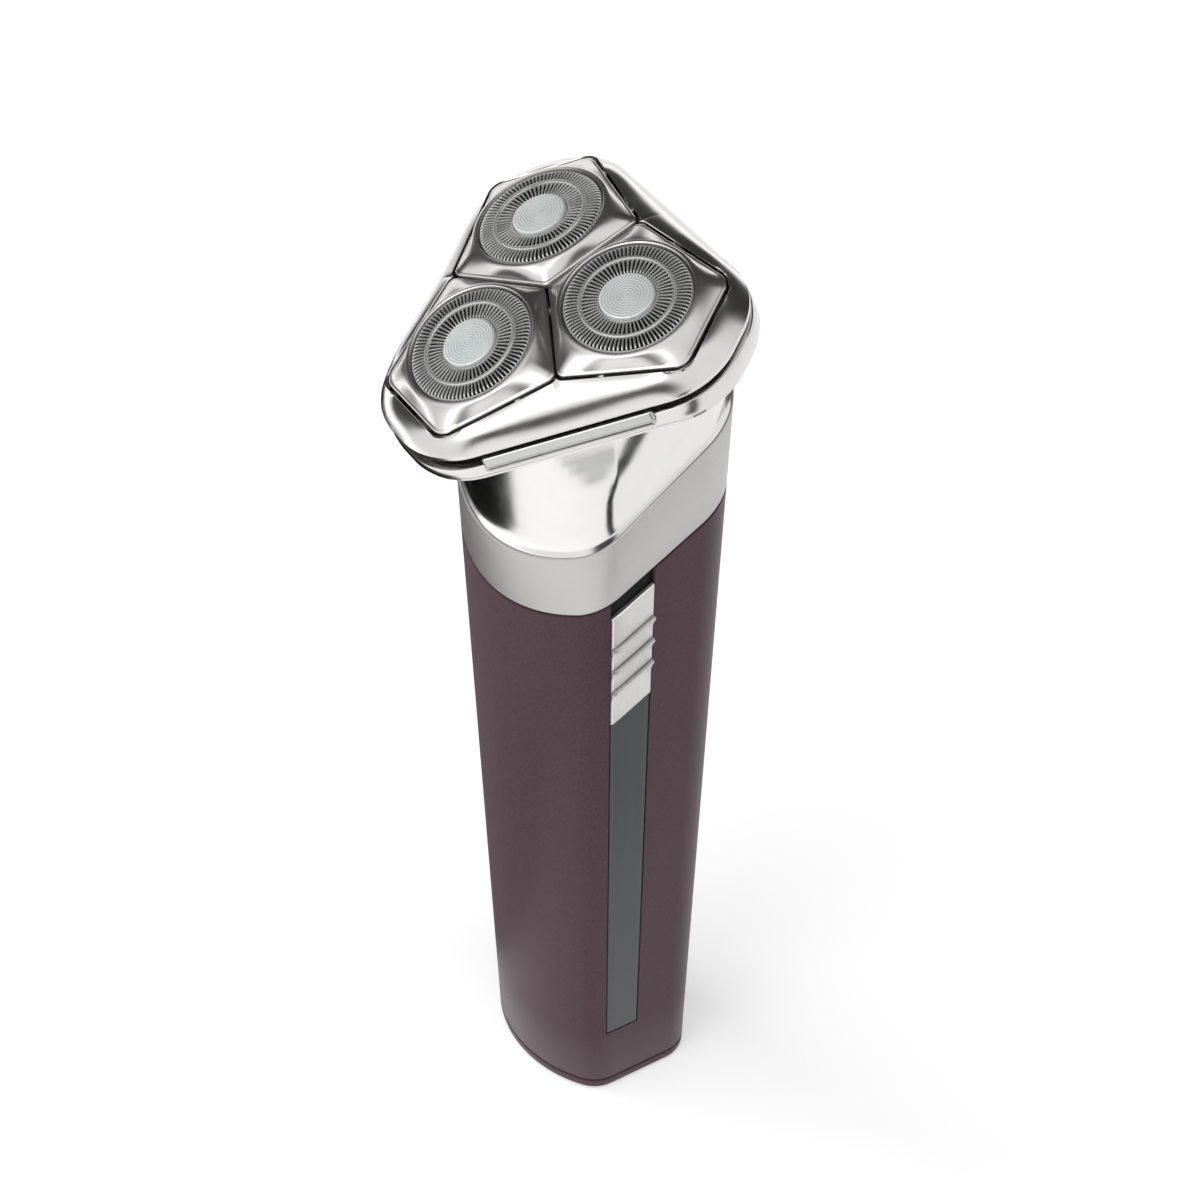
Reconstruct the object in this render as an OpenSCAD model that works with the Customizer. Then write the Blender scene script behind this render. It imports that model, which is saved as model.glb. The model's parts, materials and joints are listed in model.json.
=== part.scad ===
// Cordless rotary shaver with three tilting cutter plates on a hinged head.
// Millimetres. +Z runs up the handle, -Y is the front, +X is the side with the switch.
// The origin is the centre of the flat base. The head leans forward, towards -Y.

/* [Handle] */
// Width of the handle at its base, along X
handle_w = 31.8; // [30:0.2:34]
// Depth of the handle at its base, along Y
handle_d = 29.2; // [28.6:0.2:30]
// Radius of the four upright corners at the base
corner_r = 5.8; // [5:0.1:6.4]
// Radius of the bowed front and back faces at the base
face_r = 23; // [22:0.5:26]
// Growth of the section for each millimetre of height
taper = 0.00247; // [0.0022:0.00001:0.0027]
// Thickness of the handle's plastic shell
wall = 1.6; // [1.2:0.1:1.8]
// Height of the separate base cap
base_h = 2.4; // [2:0.1:3]

/* [Side strip and switch] */
// Lower end of the dark inlay on the +X face
strip_bottom = 14.4; // [10:0.2:20]
// Front edge of the inlay at the base
strip_front = -6.8; // [-7:0.1:-6]
// Rear edge of the inlay at the base
strip_rear = -0.8; // [-1.5:0.1:-0.2]
// Height of the slider's lower edge where it crosses Y = 0
slider_low = 93.2; // [90:0.2:96]
// Length of the slider along the handle
slider_len = 22.8; // [20:0.2:23]
// Slant of the slider's edges and ribs, degrees
slider_slant = 29.9; // [28:0.1:31]
// Travel of the power slider
slider_travel = 2.6; // [2:0.1:2.8]

/* [Trim band] */
// Height of the band's lower edge at Y = 0
band_low = 119.1; // [118:0.1:121]
// Slant of the band's lower edge, degrees
band_low_slant = 29.9; // [28:0.1:31]
// Height of the band's upper edge at Y = 0
band_high = 132.7; // [132:0.1:134]
// Slant of the band's upper edge, degrees
band_high_slant = 35.6; // [34:0.1:36.5]

/* [Head] */
// Forward lean of the head, degrees
head_tilt = 23.2; // [21:0.1:25]
// Y of the middle of the three discs
head_y = -7.5; // [-8.5:0.1:-6.5]
// Height of the middle of the three discs
head_z = 160.5; // [159:0.1:162]
// Distance of each disc's centre from the head's axis
disc_ring = 14; // [13.9:0.05:14.1]
// Diameter of a shaving disc
disc_d = 19.3; // [19:0.1:19.5]
// Outward lean of each plate, degrees
plate_lean = 6.3; // [5.5:0.1:6.6]
// Gap between neighbouring plates
plate_gap = 0.8; // [0.7:0.05:1]

/* [Drive] */
// Teeth of the motor's pinion
pinion_teeth = 18; // [18:1:18]
// Teeth of each driven gear
gear_teeth = 36; // [36:1:36]
// Gear module
gear_module = 0.5; // [0.48:0.01:0.5]
// Motor can diameter
motor_d = 15; // [14:0.5:15.5]
// Motor can length
motor_len = 20; // [18:0.5:21]
// Battery cell diameter
cell_d = 14; // [13:0.5:14.2]
// Battery cell length
cell_len = 49; // [45:1:50]

/* [Hidden] */
$fn = 48;
eps = 0.05;

// Directions of the three shaving units, seen along the head's axis
FRONT = -90;
RIGHT = 30;
LEFT = 150;
UNITS = [FRONT, RIGHT, LEFT];

// Handle section: flat sides, round corners and bowed front and back
half_w = handle_w / 2;
half_d = handle_d / 2;
face_y = half_d - face_r;
corner_x = half_w - corner_r;
corner_y = face_y + sqrt(pow(face_r - corner_r, 2) - pow(corner_x, 2));
corner_end = atan2(corner_y - face_y, corner_x);
top_z = 170;

// Heights on the head's axis, measured from the disc plane
frame_low = -7.1;
frame_high = -3.6;
tray_low = -11.8;
tray_floor = -10.6;
tray_front_edge = -9.4;
tray_rear_edge = -8;
gear_low = -14.3;
gear_thick = 2;
housing_low = -16.4;
housing_floor = -15.2;
ledge_low = -9.9;
ledge_high = -7.6;
hinge_y = 21.8;
hinge_h = -8.2;
hinge_r = 1;
hinge_pin_r = 0.5;

// Outline of the head: a three-cornered shape with broad round corners
head_corner = 18.1;
head_spread = 5.1;
head_corner_r = 12.1;

// Drive
gear_ring = gear_module * (pinion_teeth + gear_teeth) / 2;
axle_r = 0.8;
running = 0.06;
spindle_r = 1.9;
tip_low = -6;
tip_high = -3.9;
motor_top = housing_low;

// Shaving units, measured in each plate's own frame
disc_r = disc_d / 2;
guard_bore = disc_r + 0.25;
track_outer = [0.755, 0.965];
track_inner = [0.47, 0.69];
slots_outer = 60;
slots_inner = 40;
cap_r = 0.43 * disc_r;
plate_edge = -1.95;
plate_skirt = -3;
pivot_depth = -4.5;
pivot_r = 0.6;
pivot_x = 14.6;

function grow(z) = 1 + taper * z;
function arc(cx, cy, r, a0, a1, n) =
    [for (i = [0:n]) [cx + r * cos(a0 + (a1 - a0) * i / n), cy + r * sin(a0 + (a1 - a0) * i / n)]];
function turn(p, a) = [p.x * cos(a) - p.y * sin(a), p.x * sin(a) + p.y * cos(a)];

// Outline of the handle at its base, drawn inside the surface by an inset
function quarter(inset) = concat(
    arc(corner_x, corner_y, corner_r - inset, 0, corner_end, 6),
    arc(0, face_y, face_r - inset, corner_end, 90, 6));
function mirrored(pts) = [for (i = [len(pts) - 1:-1:0]) [-pts[i].x, pts[i].y]];
function half_outline(inset) = concat(quarter(inset), [for (i = [1:12]) mirrored(quarter(inset))[i]]);
function handle_outline(inset) =
    concat(half_outline(inset), [for (p = half_outline(inset)) [-p.x, -p.y]]);

// Outline of the head, drawn inside the surface by an inset
function head_outline(inset) = [for (u = UNITS) for (side = [-1, 1])
    for (p = arc(head_corner * cos(u + side * head_spread), head_corner * sin(u + side * head_spread),
        head_corner_r - inset, u + (side < 0 ? -60 : 0), u + (side < 0 ? 0 : 60), 6)) p];

// Corners of a plate in its own frame, with +Y towards the head's axis
side_reach = 17.3;
plate_corners = [[0, disc_ring], turn([side_reach, 0], -30) + [0, disc_ring],
    [8.15, -12.9], [-8.15, -12.9], turn([-side_reach, 0], 30) + [0, disc_ring]];

module handle_solid(z0, z1, inset) {
    translate([0, 0, z0])
        linear_extrude(height = z1 - z0, scale = grow(z1) / grow(z0))
            scale(grow(z0))
                polygon(handle_outline(inset));
}

// Everything below a plane that crosses Y = 0 at height z and rises to the rear
module below(z, slant) {
    translate([0, 0, z])
        rotate([slant, 0, 0])
            translate([-60, -90, -200])
                cube([120, 180, 200]);
}

module head() {
    translate([0, head_y, head_z])
        rotate([head_tilt, 0, 0])
            children();
}

module head_prism(z0, z1, inset) {
    translate([0, 0, z0])
        linear_extrude(height = z1 - z0)
            polygon(head_outline(inset));
}

// Places a unit's children on the head, in the frame of that unit's plate
module unit(u) {
    head()
        rotate([0, 0, u + 90])
            translate([0, -disc_ring, 0])
                rotate([plate_lean, 0, 0])
                    children();
}

// Places children on the upright axis of a unit's gear
module gear_at(u) {
    head()
        rotate([0, 0, u])
            translate([gear_ring, 0, 0])
                children();
}

module at_height(z) {
    translate([0, 0, z])
        children();
}

module disc(r, z0, z1) {
    at_height(z0)
        cylinder(r = r, h = z1 - z0);
}

module ring(r_in, r_out, z0, z1) {
    at_height(z0)
        linear_extrude(height = z1 - z0)
            difference() {
                circle(r = r_out);
                circle(r = r_in);
            }
}

// A pan-head screw that points down from its head's underside at Z = 0
module screw(r, len, head_r, head_h) {
    disc(r, -len, 0.01);
    difference() {
        disc(head_r, 0, head_h);
        translate([-head_r, -0.25, head_h - 0.4])
            cube([2 * head_r, 0.5, 1]);
    }
}

// ---- Handle ----

cell_x = -3.4;
cell_low = 12;
board_x = 8.4;
board_t = 1.2;
board_w = 15;
board_low = 3;
board_high = 114;
chassis_x = 4.6;
chassis_t = 1.8;
chassis_w = 20;
rib_w = 12.4;
post_y = 5.6;
post_z = [16, 60, 90];
base_screw_y = 9.2;
socket_x = 6.65;

module strip_area(z0, z1, grow_by) {
    // Tapered bar on the +X face that holds the inlay and the slider
    at_height(z0)
        linear_extrude(height = z1 - z0, scale = grow(z1) / grow(z0))
            scale(grow(z0))
                translate([5, strip_front - grow_by])
                    square([15, strip_rear - strip_front + 2 * grow_by]);
}

module body_shell() {
    color([0.29, 0.24, 0.28])
        difference() {
            union() {
                intersection() {
                    handle_solid(base_h, top_z - 25, 0);
                    below(band_low, band_low_slant);
                }
                intersection() {
                    handle_solid(base_h + 60, top_z - 12, 1.25);
                    below(band_high + 3.2, band_high_slant);
                }
            }
            handle_solid(base_h - 1, top_z, wall);
            intersection() {
                strip_area(strip_bottom, 134, 0);
                below(band_low - 0.2, band_low_slant);
                difference() {
                    handle_solid(base_h, top_z, -1);
                    handle_solid(base_h, top_z, 0.8);
                }
            }
            slider_slot();
        }
}

module slider_slot() {
    // Slot through which the slider's stem reaches the switch
    translate([0, strip_mid(), slider_mid() - 2.2])
        translate([8, -1.6, 0])
            cube([20, 3.2, slider_travel + 4.4]);
}

function strip_mid() = (strip_front + strip_rear) / 2 * grow(slider_low);
function slider_mid() = slider_low + slider_len / 2 + strip_mid() * tan(slider_slant);

module base_cap() {
    color([0.29, 0.24, 0.28])
        difference() {
            union() {
                // Rounded lower edge, then the upright edge, then the spigot inside the shell
                hull() {
                    handle_solid(0, 0.1, 1.1);
                    handle_solid(0.5, 0.6, 0.3);
                    handle_solid(1.1, base_h, 0);
                }
                handle_solid(base_h - 0.1, base_h + 3, wall + 0.15);
            }
            handle_solid(base_h, base_h + 4, wall + 1.5);
            charge_recess();
            for (side = [-1, 1])
                translate([0, side * base_screw_y, 0]) {
                    disc(1.1, -1, 8);
                    disc(2.1, -1, 1.2);
                }
        }
}

module charge_recess() {
    // Stadium-shaped mouth of the charging socket
    translate([socket_x, 0, -1])
        rotate([0, 0, 90])
            linear_extrude(height = 8)
                stadium(9.6, 3.8);
}

module stadium(len, w) {
    square([len - w, w], center = true);
    for (side = [-1, 1])
        translate([side * (len - w) / 2, 0])
            circle(d = w);
}

module base_screws() {
    color("silver")
        for (side = [-1, 1])
            translate([0, side * base_screw_y, 1.15])
                rotate([180, 0, 0])
                    screw(0.9, 6.5, 1.9, 0.9);
}

module side_strip() {
    color([0.33, 0.35, 0.34])
        intersection() {
            strip_area(strip_bottom + 0.15, 120, -0.15);
            difference() {
                handle_solid(base_h, top_z, 0.02);
                handle_solid(base_h, top_z, 0.8);
            }
            below(slider_low - 0.3, slider_slant);
        }
}

module switch_track() {
    // Black guide plate under the slider, with the slot for its stem
    color([0.05, 0.05, 0.05])
        difference() {
            intersection() {
                strip_area(80, 134, -0.15);
                difference() {
                    handle_solid(base_h, top_z, 0.45);
                    handle_solid(base_h, top_z, 0.8);
                }
                difference() {
                    below(band_low - 0.25, band_low_slant);
                    below(slider_low - 0.25, slider_slant);
                }
            }
            slider_slot();
        }
}

module trim_band() {
    color([0.72, 0.70, 0.67])
        intersection() {
            difference() {
                handle_solid(90, top_z, 0);
                handle_solid(80, top_z + 5, 1.15);
            }
            difference() {
                below(band_high - 0.05, band_high_slant);
                below(band_low + 0.05, band_low_slant);
            }
        }
}

module neck_cover() {
    // Bright collar between the band and the head's underside
    color([0.85, 0.85, 0.86])
        difference() {
            intersection() {
                handle_solid(90, top_z, 0.1);
                neck_limit(0);
            }
            below(band_high + 0.05, band_high_slant);
            intersection() {
                handle_solid(80, top_z + 5, 1.15);
                below(band_high + 3.3, band_high_slant);
            }
            intersection() {
                handle_solid(80, top_z + 5, 1.8);
                neck_limit(1.4);
            }
            head()
                housing_body(0.05);
        }
}

// Space that narrows upwards to the underside of the head
module neck_limit(inset) {
    head()
        hull() {
            head_prism(housing_low + 1.4, housing_low + 2.4, 3 + inset);
            head_prism(housing_low - 30, housing_low - 29, inset - 16);
        }
}

module chassis() {
    // Carrier that holds the cell, the circuit board and the switch
    color([0.2, 0.2, 0.22])
        difference() {
            union() {
                translate([chassis_x, -chassis_w / 2, cell_low - 4])
                    cube([chassis_t, chassis_w, board_high - cell_low + 2]);
                for (z = [cell_low + 3, cell_low + cell_len - 9])
                    translate([cell_x, 0, z])
                        difference() {
                            cylinder(r = cell_d / 2 + 1.3, h = 5);
                            translate([-20, -3.5, -1])
                                cube([18, 7, 8]);
                        }
                translate([cell_x - 5, -base_screw_y - 2, cell_low - 4])
                    cube([chassis_x + chassis_t - cell_x + 5, 2 * base_screw_y + 4, 3]);
                for (side = [-1, 1])
                    translate([0, side * base_screw_y, 0])
                        disc(2, base_h + 0.1, cell_low - 3);
                for (z = [24, 66, 98])
                    translate([chassis_x, 0.4 - rib_w * grow(z), z])
                        cube([chassis_t, 2 * (rib_w * grow(z) - 0.4), 2]);
                for (z = post_z)
                    for (side = [-1, 1])
                        translate([chassis_x + 1, side * post_y, z])
                            rotate([0, 90, 0])
                                cylinder(r = 1.4, h = board_x - chassis_x - 1 - eps);
            }
            translate([cell_x, 0, cell_low - 1])
                cylinder(r = cell_d / 2 + 0.1, h = cell_len + 20);
            for (side = [-1, 1])
                translate([0, side * base_screw_y, 0])
                    disc(0.95, 0, cell_low);
            for (z = post_z)
                for (side = [-1, 1])
                    translate([chassis_x - 1, side * post_y, z])
                        rotate([0, 90, 0])
                            cylinder(r = 0.65, h = 8);
        }
}

module battery_cell() {
    color([0.25, 0.45, 0.6])
        translate([cell_x, 0, cell_low]) {
            cylinder(d = cell_d, h = cell_len - 1);
            cylinder(r = 3, h = cell_len);
        }
}

module battery_tabs() {
    // Nickel strips from the cell's ends to the board's lower and middle parts
    color("gainsboro")
        for (z = [cell_low - 0.35, cell_low + cell_len + eps])
            translate([cell_x - 2.5, -1.5, z])
                cube([chassis_x - cell_x + 2.3, 3, 0.25]);
}

module circuit_board() {
    color([0.1, 0.35, 0.2])
        difference() {
            union() {
                translate([board_x, -board_w / 2, board_low])
                    cube([board_t, board_w, board_high - board_low]);
                for (z = [34, 44, 72, 80])
                    translate([board_x + board_t - 0.1, -2, z])
                        cube([1.6, 4.4, 5]);
            }
            for (z = post_z)
                for (side = [-1, 1])
                    translate([board_x - 1, side * post_y, z])
                        rotate([0, 90, 0])
                            cylinder(r = 0.9, h = 4);
        }
}

module board_screws() {
    color("silver")
        for (z = post_z)
            for (side = [-1, 1])
                translate([board_x + board_t + 0.03, side * post_y, z])
                    rotate([0, 90, 0])
                        screw(0.6, 4.4, 1.3, 0.8);
}

module charge_socket() {
    // Metal shell and tongue of the charging socket
    color("silver")
        translate([socket_x, 0, 0.9])
            rotate([0, 0, 90]) {
            difference() {
                linear_extrude(height = 6.4)
                    stadium(9.2, 3.4);
                at_height(-1)
                    linear_extrude(height = 6.4)
                        stadium(8.4, 2.6);
            }
            translate([-3.1, -0.35, 0.8])
                cube([6.2, 0.7, 5]);
        }
}

switch_x = board_x + board_t + eps;

module switch_case() {
    color([0.12, 0.12, 0.12])
        difference() {
            translate([switch_x, strip_mid() - 2.2, slider_mid() - 4.5])
                cube([4, 4.4, 9 + slider_travel]);
            translate([switch_x + 1, strip_mid() - 1.4, slider_mid() - 2])
                cube([4, 2.8, 4 + slider_travel]);
        }
}

module switch_lever() {
    // Sliding block of the switch, gripped by the slider's stem
    color("white")
        difference() {
            translate([switch_x + 1.3, strip_mid() - 1.2, slider_mid() - 1.7])
                cube([3.9, 2.4, 3.4]);
            translate([switch_x + 3, strip_mid() - 1.4, slider_mid() - 0.9])
                cube([4, 2.8, 1.8]);
        }
}

module power_slider() {
    // Thumb piece with slanted ends and three slanted ribs
    color([0.8, 0.8, 0.79]) {
        intersection() {
            union() {
                intersection() {
                    handle_solid(80, 135, -0.25);
                    below(slider_low + slider_len, slider_slant);
                }
                for (i = [0:2])
                    intersection() {
                        handle_solid(80, 135, -0.85);
                        below(slider_low + slider_len * (0.31 + 0.2 * i), slider_slant);
                        difference() {
                            handle_solid(80, 136, -2);
                            below(slider_low + slider_len * (0.24 + 0.2 * i), slider_slant);
                        }
                    }
            }
            strip_area(80, 134, -0.1);
            difference() {
                handle_solid(80, 136, -2);
                handle_solid(79, 137, 0.35);
            }
            difference() {
                at_height(80)
                    translate([0, -40, 0])
                        cube([60, 80, 60]);
                below(slider_low, slider_slant);
            }
        }
        translate([switch_x + 3.3, strip_mid() - 1, slider_mid() - 0.8])
            cube([7, 2, 1.6]);
    }
}

// ---- Motor and transmission ----

module motor_can() {
    color([0.75, 0.75, 0.76])
        head()
            difference() {
                union() {
                    disc(motor_d / 2, motor_top - motor_len, motor_top);
                    disc(2.6, motor_top, motor_top + 1);
                }
                disc(5.6, motor_top - motor_len - 1, motor_top - 1.2);
                disc(0.75 + running, motor_top - 30, motor_top + 5);
                for (side = [-1, 1])
                    translate([side * 5.2, 0, 0])
                        disc(0.65, motor_top - 6, motor_top + 1);
            }
}

module motor_end_bell() {
    color([0.08, 0.08, 0.09])
        head() {
            difference() {
                union() {
                    disc(motor_d / 2 - 0.4, motor_top - motor_len - 2.2, motor_top - motor_len - eps);
                    disc(2.4, motor_top - motor_len - 3, motor_top - motor_len);
                }
                disc(0.75 + running, motor_top - motor_len - 2.4, motor_top);
            }
        }
}

module motor_screws() {
    color("silver")
        head()
            for (side = [-1, 1])
                translate([side * 5.2, 0, housing_floor + 0.02])
                    screw(0.55, 3.6, 1.1, 0.55);
}

module motor_shaft() {
    color("silver")
        head()
            union() {
                disc(0.75, motor_top - motor_len - 2.2, gear_low + gear_thick + 0.4);
                disc(5.2, motor_top - motor_len + 1.5, motor_top - 3);
            }
}

// Points of one involute tooth, as radius and angle, from its root up one flank and down the other
function involute(rb, r) = let (t = sqrt(max(0, pow(r / rb, 2) - 1))) t * 180 / PI - atan(t);
function tooth(z, r_tip, r_root) =
    let (rp = gear_module * z / 2, rb = rp * cos(20), r0 = max(rb, r_root),
        half = 90 / z * 0.92 + involute(rb, rp))
    concat(
        [[r_root, -half - 0.2]],
        [for (i = [0:3]) let (r = r0 + (r_tip - r0) * i / 3) [r, -half + involute(rb, r)]],
        [for (i = [3:-1:0]) let (r = r0 + (r_tip - r0) * i / 3) [r, half - involute(rb, r)]],
        [[r_root, half + 0.2]]);
function gear_points(z, phase) =
    let (rp = gear_module * z / 2, one = tooth(z, rp + 0.85 * gear_module, rp - 1.15 * gear_module))
    [for (k = [0:z - 1]) for (p = one)
        [p[0] * cos(p[1] + phase + 360 * k / z), p[0] * sin(p[1] + phase + 360 * k / z)]];

module drive_pinion() {
    color("goldenrod")
        head()
            difference() {
                at_height(gear_low + 0.1)
                    linear_extrude(height = gear_thick - 0.2)
                        polygon(gear_points(pinion_teeth, 0));
                disc(0.75 + eps, gear_low - 1, gear_low + 5);
            }
}

// Turns each gear so that a gap faces the pinion's tooth on the line of centres
function gear_phase(u) = 180 + u * pinion_teeth / gear_teeth + 180 / gear_teeth;

module gear(u) {
    color([0.92, 0.92, 0.88])
        gear_at(u)
            difference() {
                union() {
                    at_height(gear_low)
                        linear_extrude(height = gear_thick)
                            polygon(gear_points(gear_teeth, gear_phase(u)));
                    disc(2.1, gear_low - 0.6, gear_low + 0.1);
                }
                disc(axle_r + running, gear_low - 2, gear_low + 5);
            }
}

module spindle(u) {
    // Hollow spindle on the gear, with a flat key at its tip and a collar for the spring
    color([0.15, 0.15, 0.16])
        gear_at(u)
            difference() {
                union() {
                    disc(spindle_r, gear_low + gear_thick + eps, tip_low);
                    disc(3, -7.3, -6.7);
                    translate([-1.1, -0.5, tip_low - 0.1])
                        cube([2.2, 1, tip_high - tip_low + 0.1]);
                }
                disc(axle_r + running, gear_low - 2, -9.4);
            }
}

// Wire of a coil spring, swept round the axis as one closed skin
coil_sides = 8;
coil_steps = 14;
coil_turns = 3;
coil_r = 2.45;
wire_r = 0.22;
coil_low = -9.5;
coil_high = -7.6;

function coil_point(i, j) =
    let (a = 360 * i / coil_steps, b = 360 * j / coil_sides, r = coil_r + wire_r * cos(b))
    [r * cos(a), r * sin(a),
        coil_low + (coil_high - coil_low) * i / (coil_steps * coil_turns) + wire_r * sin(b)];

module coil() {
    last = coil_steps * coil_turns;
    polyhedron(
        points = [for (i = [0:last]) for (j = [0:coil_sides - 1]) coil_point(i, j)],
        faces = concat(
            [[for (j = [0:coil_sides - 1]) j]],
            [[for (j = [coil_sides - 1:-1:0]) last * coil_sides + j]],
            [for (i = [0:last - 1]) for (j = [0:coil_sides - 1]) for (half = [0, 1])
                let (a = i * coil_sides + j, b = i * coil_sides + (j + 1) % coil_sides)
                half == 0 ? [a, a + coil_sides, b] : [b, a + coil_sides, b + coil_sides]]));
}

module spring(u) {
    color("silver")
        gear_at(u)
            coil();
}

module housing_body(spread) {
    hull() {
        head_prism(tray_low - 0.5, tray_low - eps + spread, 0.4 - spread);
        head_prism(housing_low - spread, housing_low + 0.4, 6 - spread);
    }
}

module gear_housing() {
    color([0.78, 0.78, 0.79])
        head()
            difference() {
                housing_body(0);
                hull() {
                    head_prism(tray_low - 0.6, tray_low + 1, 1.8);
                    head_prism(housing_floor, housing_floor + 0.4, 6.2);
                }
                disc(2.6 + eps, housing_low - 1, housing_floor + 1);
                for (side = [-1, 1])
                    translate([side * 5.2, 0, 0])
                        disc(0.65, housing_low - 1, housing_floor + 1);
                for (u = UNITS)
                    rotate([0, 0, u])
                        translate([gear_ring, 0, 0])
                            disc(axle_r, housing_low - 1, housing_floor + 1);
            }
}

module gear_axles() {
    color("silver")
        for (u = UNITS)
            gear_at(u)
                disc(axle_r, housing_low, -9.6);
}

// ---- Hair chamber ----

module seam_plane(z_front, z_rear) {
    // Everything on the head above a plane that runs from the front corner to the rear side
    front_y = -head_corner - head_corner_r;
    slope = atan((z_rear - z_front) / (hinge_y - front_y));
    translate([-60, front_y, z_front])
        rotate([slope, 0, 0])
            translate([0, -20, 0])
                cube([120, 120, 30]);
}

module hinge_barrel(x0, x1, r) {
    translate([x0, hinge_y, hinge_h])
        rotate([0, 90, 0])
            cylinder(r = r, h = x1 - x0);
}

module head_tray() {
    color([0.8, 0.8, 0.8])
        head()
            difference() {
                union() {
                    difference() {
                        head_prism(tray_low, tray_rear_edge + 1, 0);
                        head_prism(tray_floor, tray_rear_edge + 2, 1.5);
                        seam_plane(tray_front_edge, tray_rear_edge);
                        // Notch for the frame's hinge barrel
                        translate([-5.1, hinge_y - 2.5, hinge_h - 1.3])
                            cube([10.2, 6, 3]);
                    }
                    for (u = UNITS)
                        rotate([0, 0, u])
                            translate([gear_ring, 0, 0])
                                disc(3.9, tray_floor - 0.1, tray_floor + 0.8);
                    for (side = [-1, 1])
                        hinge_barrel(side * 6.9 - 1.7, side * 6.9 + 1.7, hinge_r);
                }
                for (u = UNITS)
                    rotate([0, 0, u])
                        translate([gear_ring, 0, 0])
                            disc(spindle_r + 0.25, tray_low - 1, tray_floor + 2);
                for (u = UNITS)
                    rotate([0, 0, u + 60])
                        translate([17.5, 0, 0])
                            disc(0.9, tray_low - 1, tray_floor + 1);
                hinge_barrel(-8.6, 8.6, hinge_pin_r);
            }
}

module tray_seal() {
    // Black lip that closes the seam below the frame
    color([0.04, 0.04, 0.04])
        head()
            difference() {
                head_prism(tray_floor + 0.5, frame_low - 0.3, 1.8);
                head_prism(tray_floor, frame_low + 1, 2.7);
            }
}

module tray_screws() {
    color("silver")
        head()
            for (u = UNITS)
                rotate([0, 0, u + 60])
                    translate([17.5, 0, tray_floor + 0.02])
                        screw(0.85, 2.2, 1.6, 0.7);
}

module hinge_pin() {
    color("silver")
        head()
            hinge_barrel(-8.5, 8.5, hinge_pin_r);
}

// ---- Opening frame ----

module plate_prism(z0, z1, spread, round_r) {
    at_height(z0)
        linear_extrude(height = z1 - z0)
            polygon(rounded(plate_corners, spread, round_r));
}

// Convex outline moved outwards by a spread, with its corners rounded
function unitv(v) = v / norm(v);
function rounded(pts, spread, r) = [for (i = [0:len(pts) - 1])
    let (n = len(pts), a = pts[(i + n - 1) % n], b = pts[i], c = pts[(i + 1) % n],
        din = unitv(b - a), dout = unitv(c - b),
        nin = [-din.y, din.x], nout = [-dout.y, dout.x],
        mid = unitv(nin + nout), half = norm(nin + nout) / 2,
        centre = b + mid * (spread - r) / half,
        a0 = atan2(nin.y, nin.x), sweep = -acos(nin * nout))
    for (p = arc(centre.x, centre.y, r, a0, a0 + sweep, 3)) p];

module lobes(z0, z1, spread) {
    for (u = UNITS)
        rotate([0, 0, u + 90])
            translate([0, -disc_ring, 0])
                plate_prism(z0, z1, spread, 0.5);
}

module pivot_axis(u, x0, x1, r) {
    rotate([0, 0, u + 90])
        translate([0, -disc_ring, 0])
            rotate([plate_lean, 0, 0])
                for (side = [-1, 1])
                    translate([side > 0 ? x0 : -x1, 0, pivot_depth])
                        rotate([0, 90, 0])
                            cylinder(r = r, h = x1 - x0);
}

module head_frame() {
    color([0.8, 0.79, 0.78])
        head()
            difference() {
                union() {
                    difference() {
                        hull() {
                            head_prism(frame_low, frame_low + 1.8, 0);
                            head_prism(frame_high - 0.6, frame_high, 2);
                        }
                        head_prism(frame_low - 1, frame_low + 1.6, 1.6);
                        lobes(-20, 5, 0.2);
                    }
                    // Spider that carries the lock, below the seams between the plates
                    for (u = UNITS)
                        rotate([0, 0, u + 60])
                            translate([1.8, -0.9, -5.2])
                                cube([17.6, 1.8, 1.1]);
                    disc(2.7, -5.4, -4);
                    // Lugs around the plates' pivots
                    for (u = UNITS)
                        rotate([0, 0, u + 90])
                            for (side = [-1, 1])
                                translate([side * 14.4 - 0.9, -disc_ring - 1, -5.8])
                                    cube([1.8, 3, 1.6]);
                    translate([-4.9, hinge_y - 0.9, hinge_h])
                        cube([9.8, 1.5, 1.6]);
                    hinge_barrel(-4.9, 4.9, hinge_r);
                }
                disc(1.25, -8, -3);
                for (u = UNITS)
                    pivot_axis(u, 12, 15, pivot_r + 0.08);
                hinge_barrel(-10, 10, hinge_pin_r + 0.05);
            }
}

module thumb_ledges() {
    // Two slim bars on the tray's front sides that cover most of the seam
    color([0.82, 0.81, 0.84])
        head()
            for (side = [-1, 1])
                rotate([0, 0, side * 60 - 90])
                    translate([head_side(), -13 - side, ledge_low])
                        cube([1.1, 26, ledge_high - ledge_low]);
}

function head_side() = head_corner * cos(60 - head_spread) + head_corner_r;

module cutter_carrier() {
    // Retaining plate with a ring under each cutter
    color([0.1, 0.1, 0.11])
        head()
            difference() {
                union() {
                    for (u = UNITS)
                        rotate([0, 0, u])
                            translate([gear_ring, 0, 0])
                                disc(10.2, -6.9, -5.6);
                    disc(4.8, -6.8, -5.5);
                }
                for (u = UNITS)
                    rotate([0, 0, u])
                        translate([gear_ring, 0, 0])
                            disc(7.6, -8, -5);
                disc(1.5, -8, -5);
            }
}

module carrier_lock() {
    // Quarter-turn knob that holds the retaining plate
    color([0.55, 0.1, 0.12])
        head() {
            disc(1.15, -7, -4.4);
            disc(3.2, -8.1, -7);
            translate([-4.6, -0.7, -8.1])
                cube([9.2, 1.4, 1.1]);
        }
}

// ---- Shaving units ----

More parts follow.
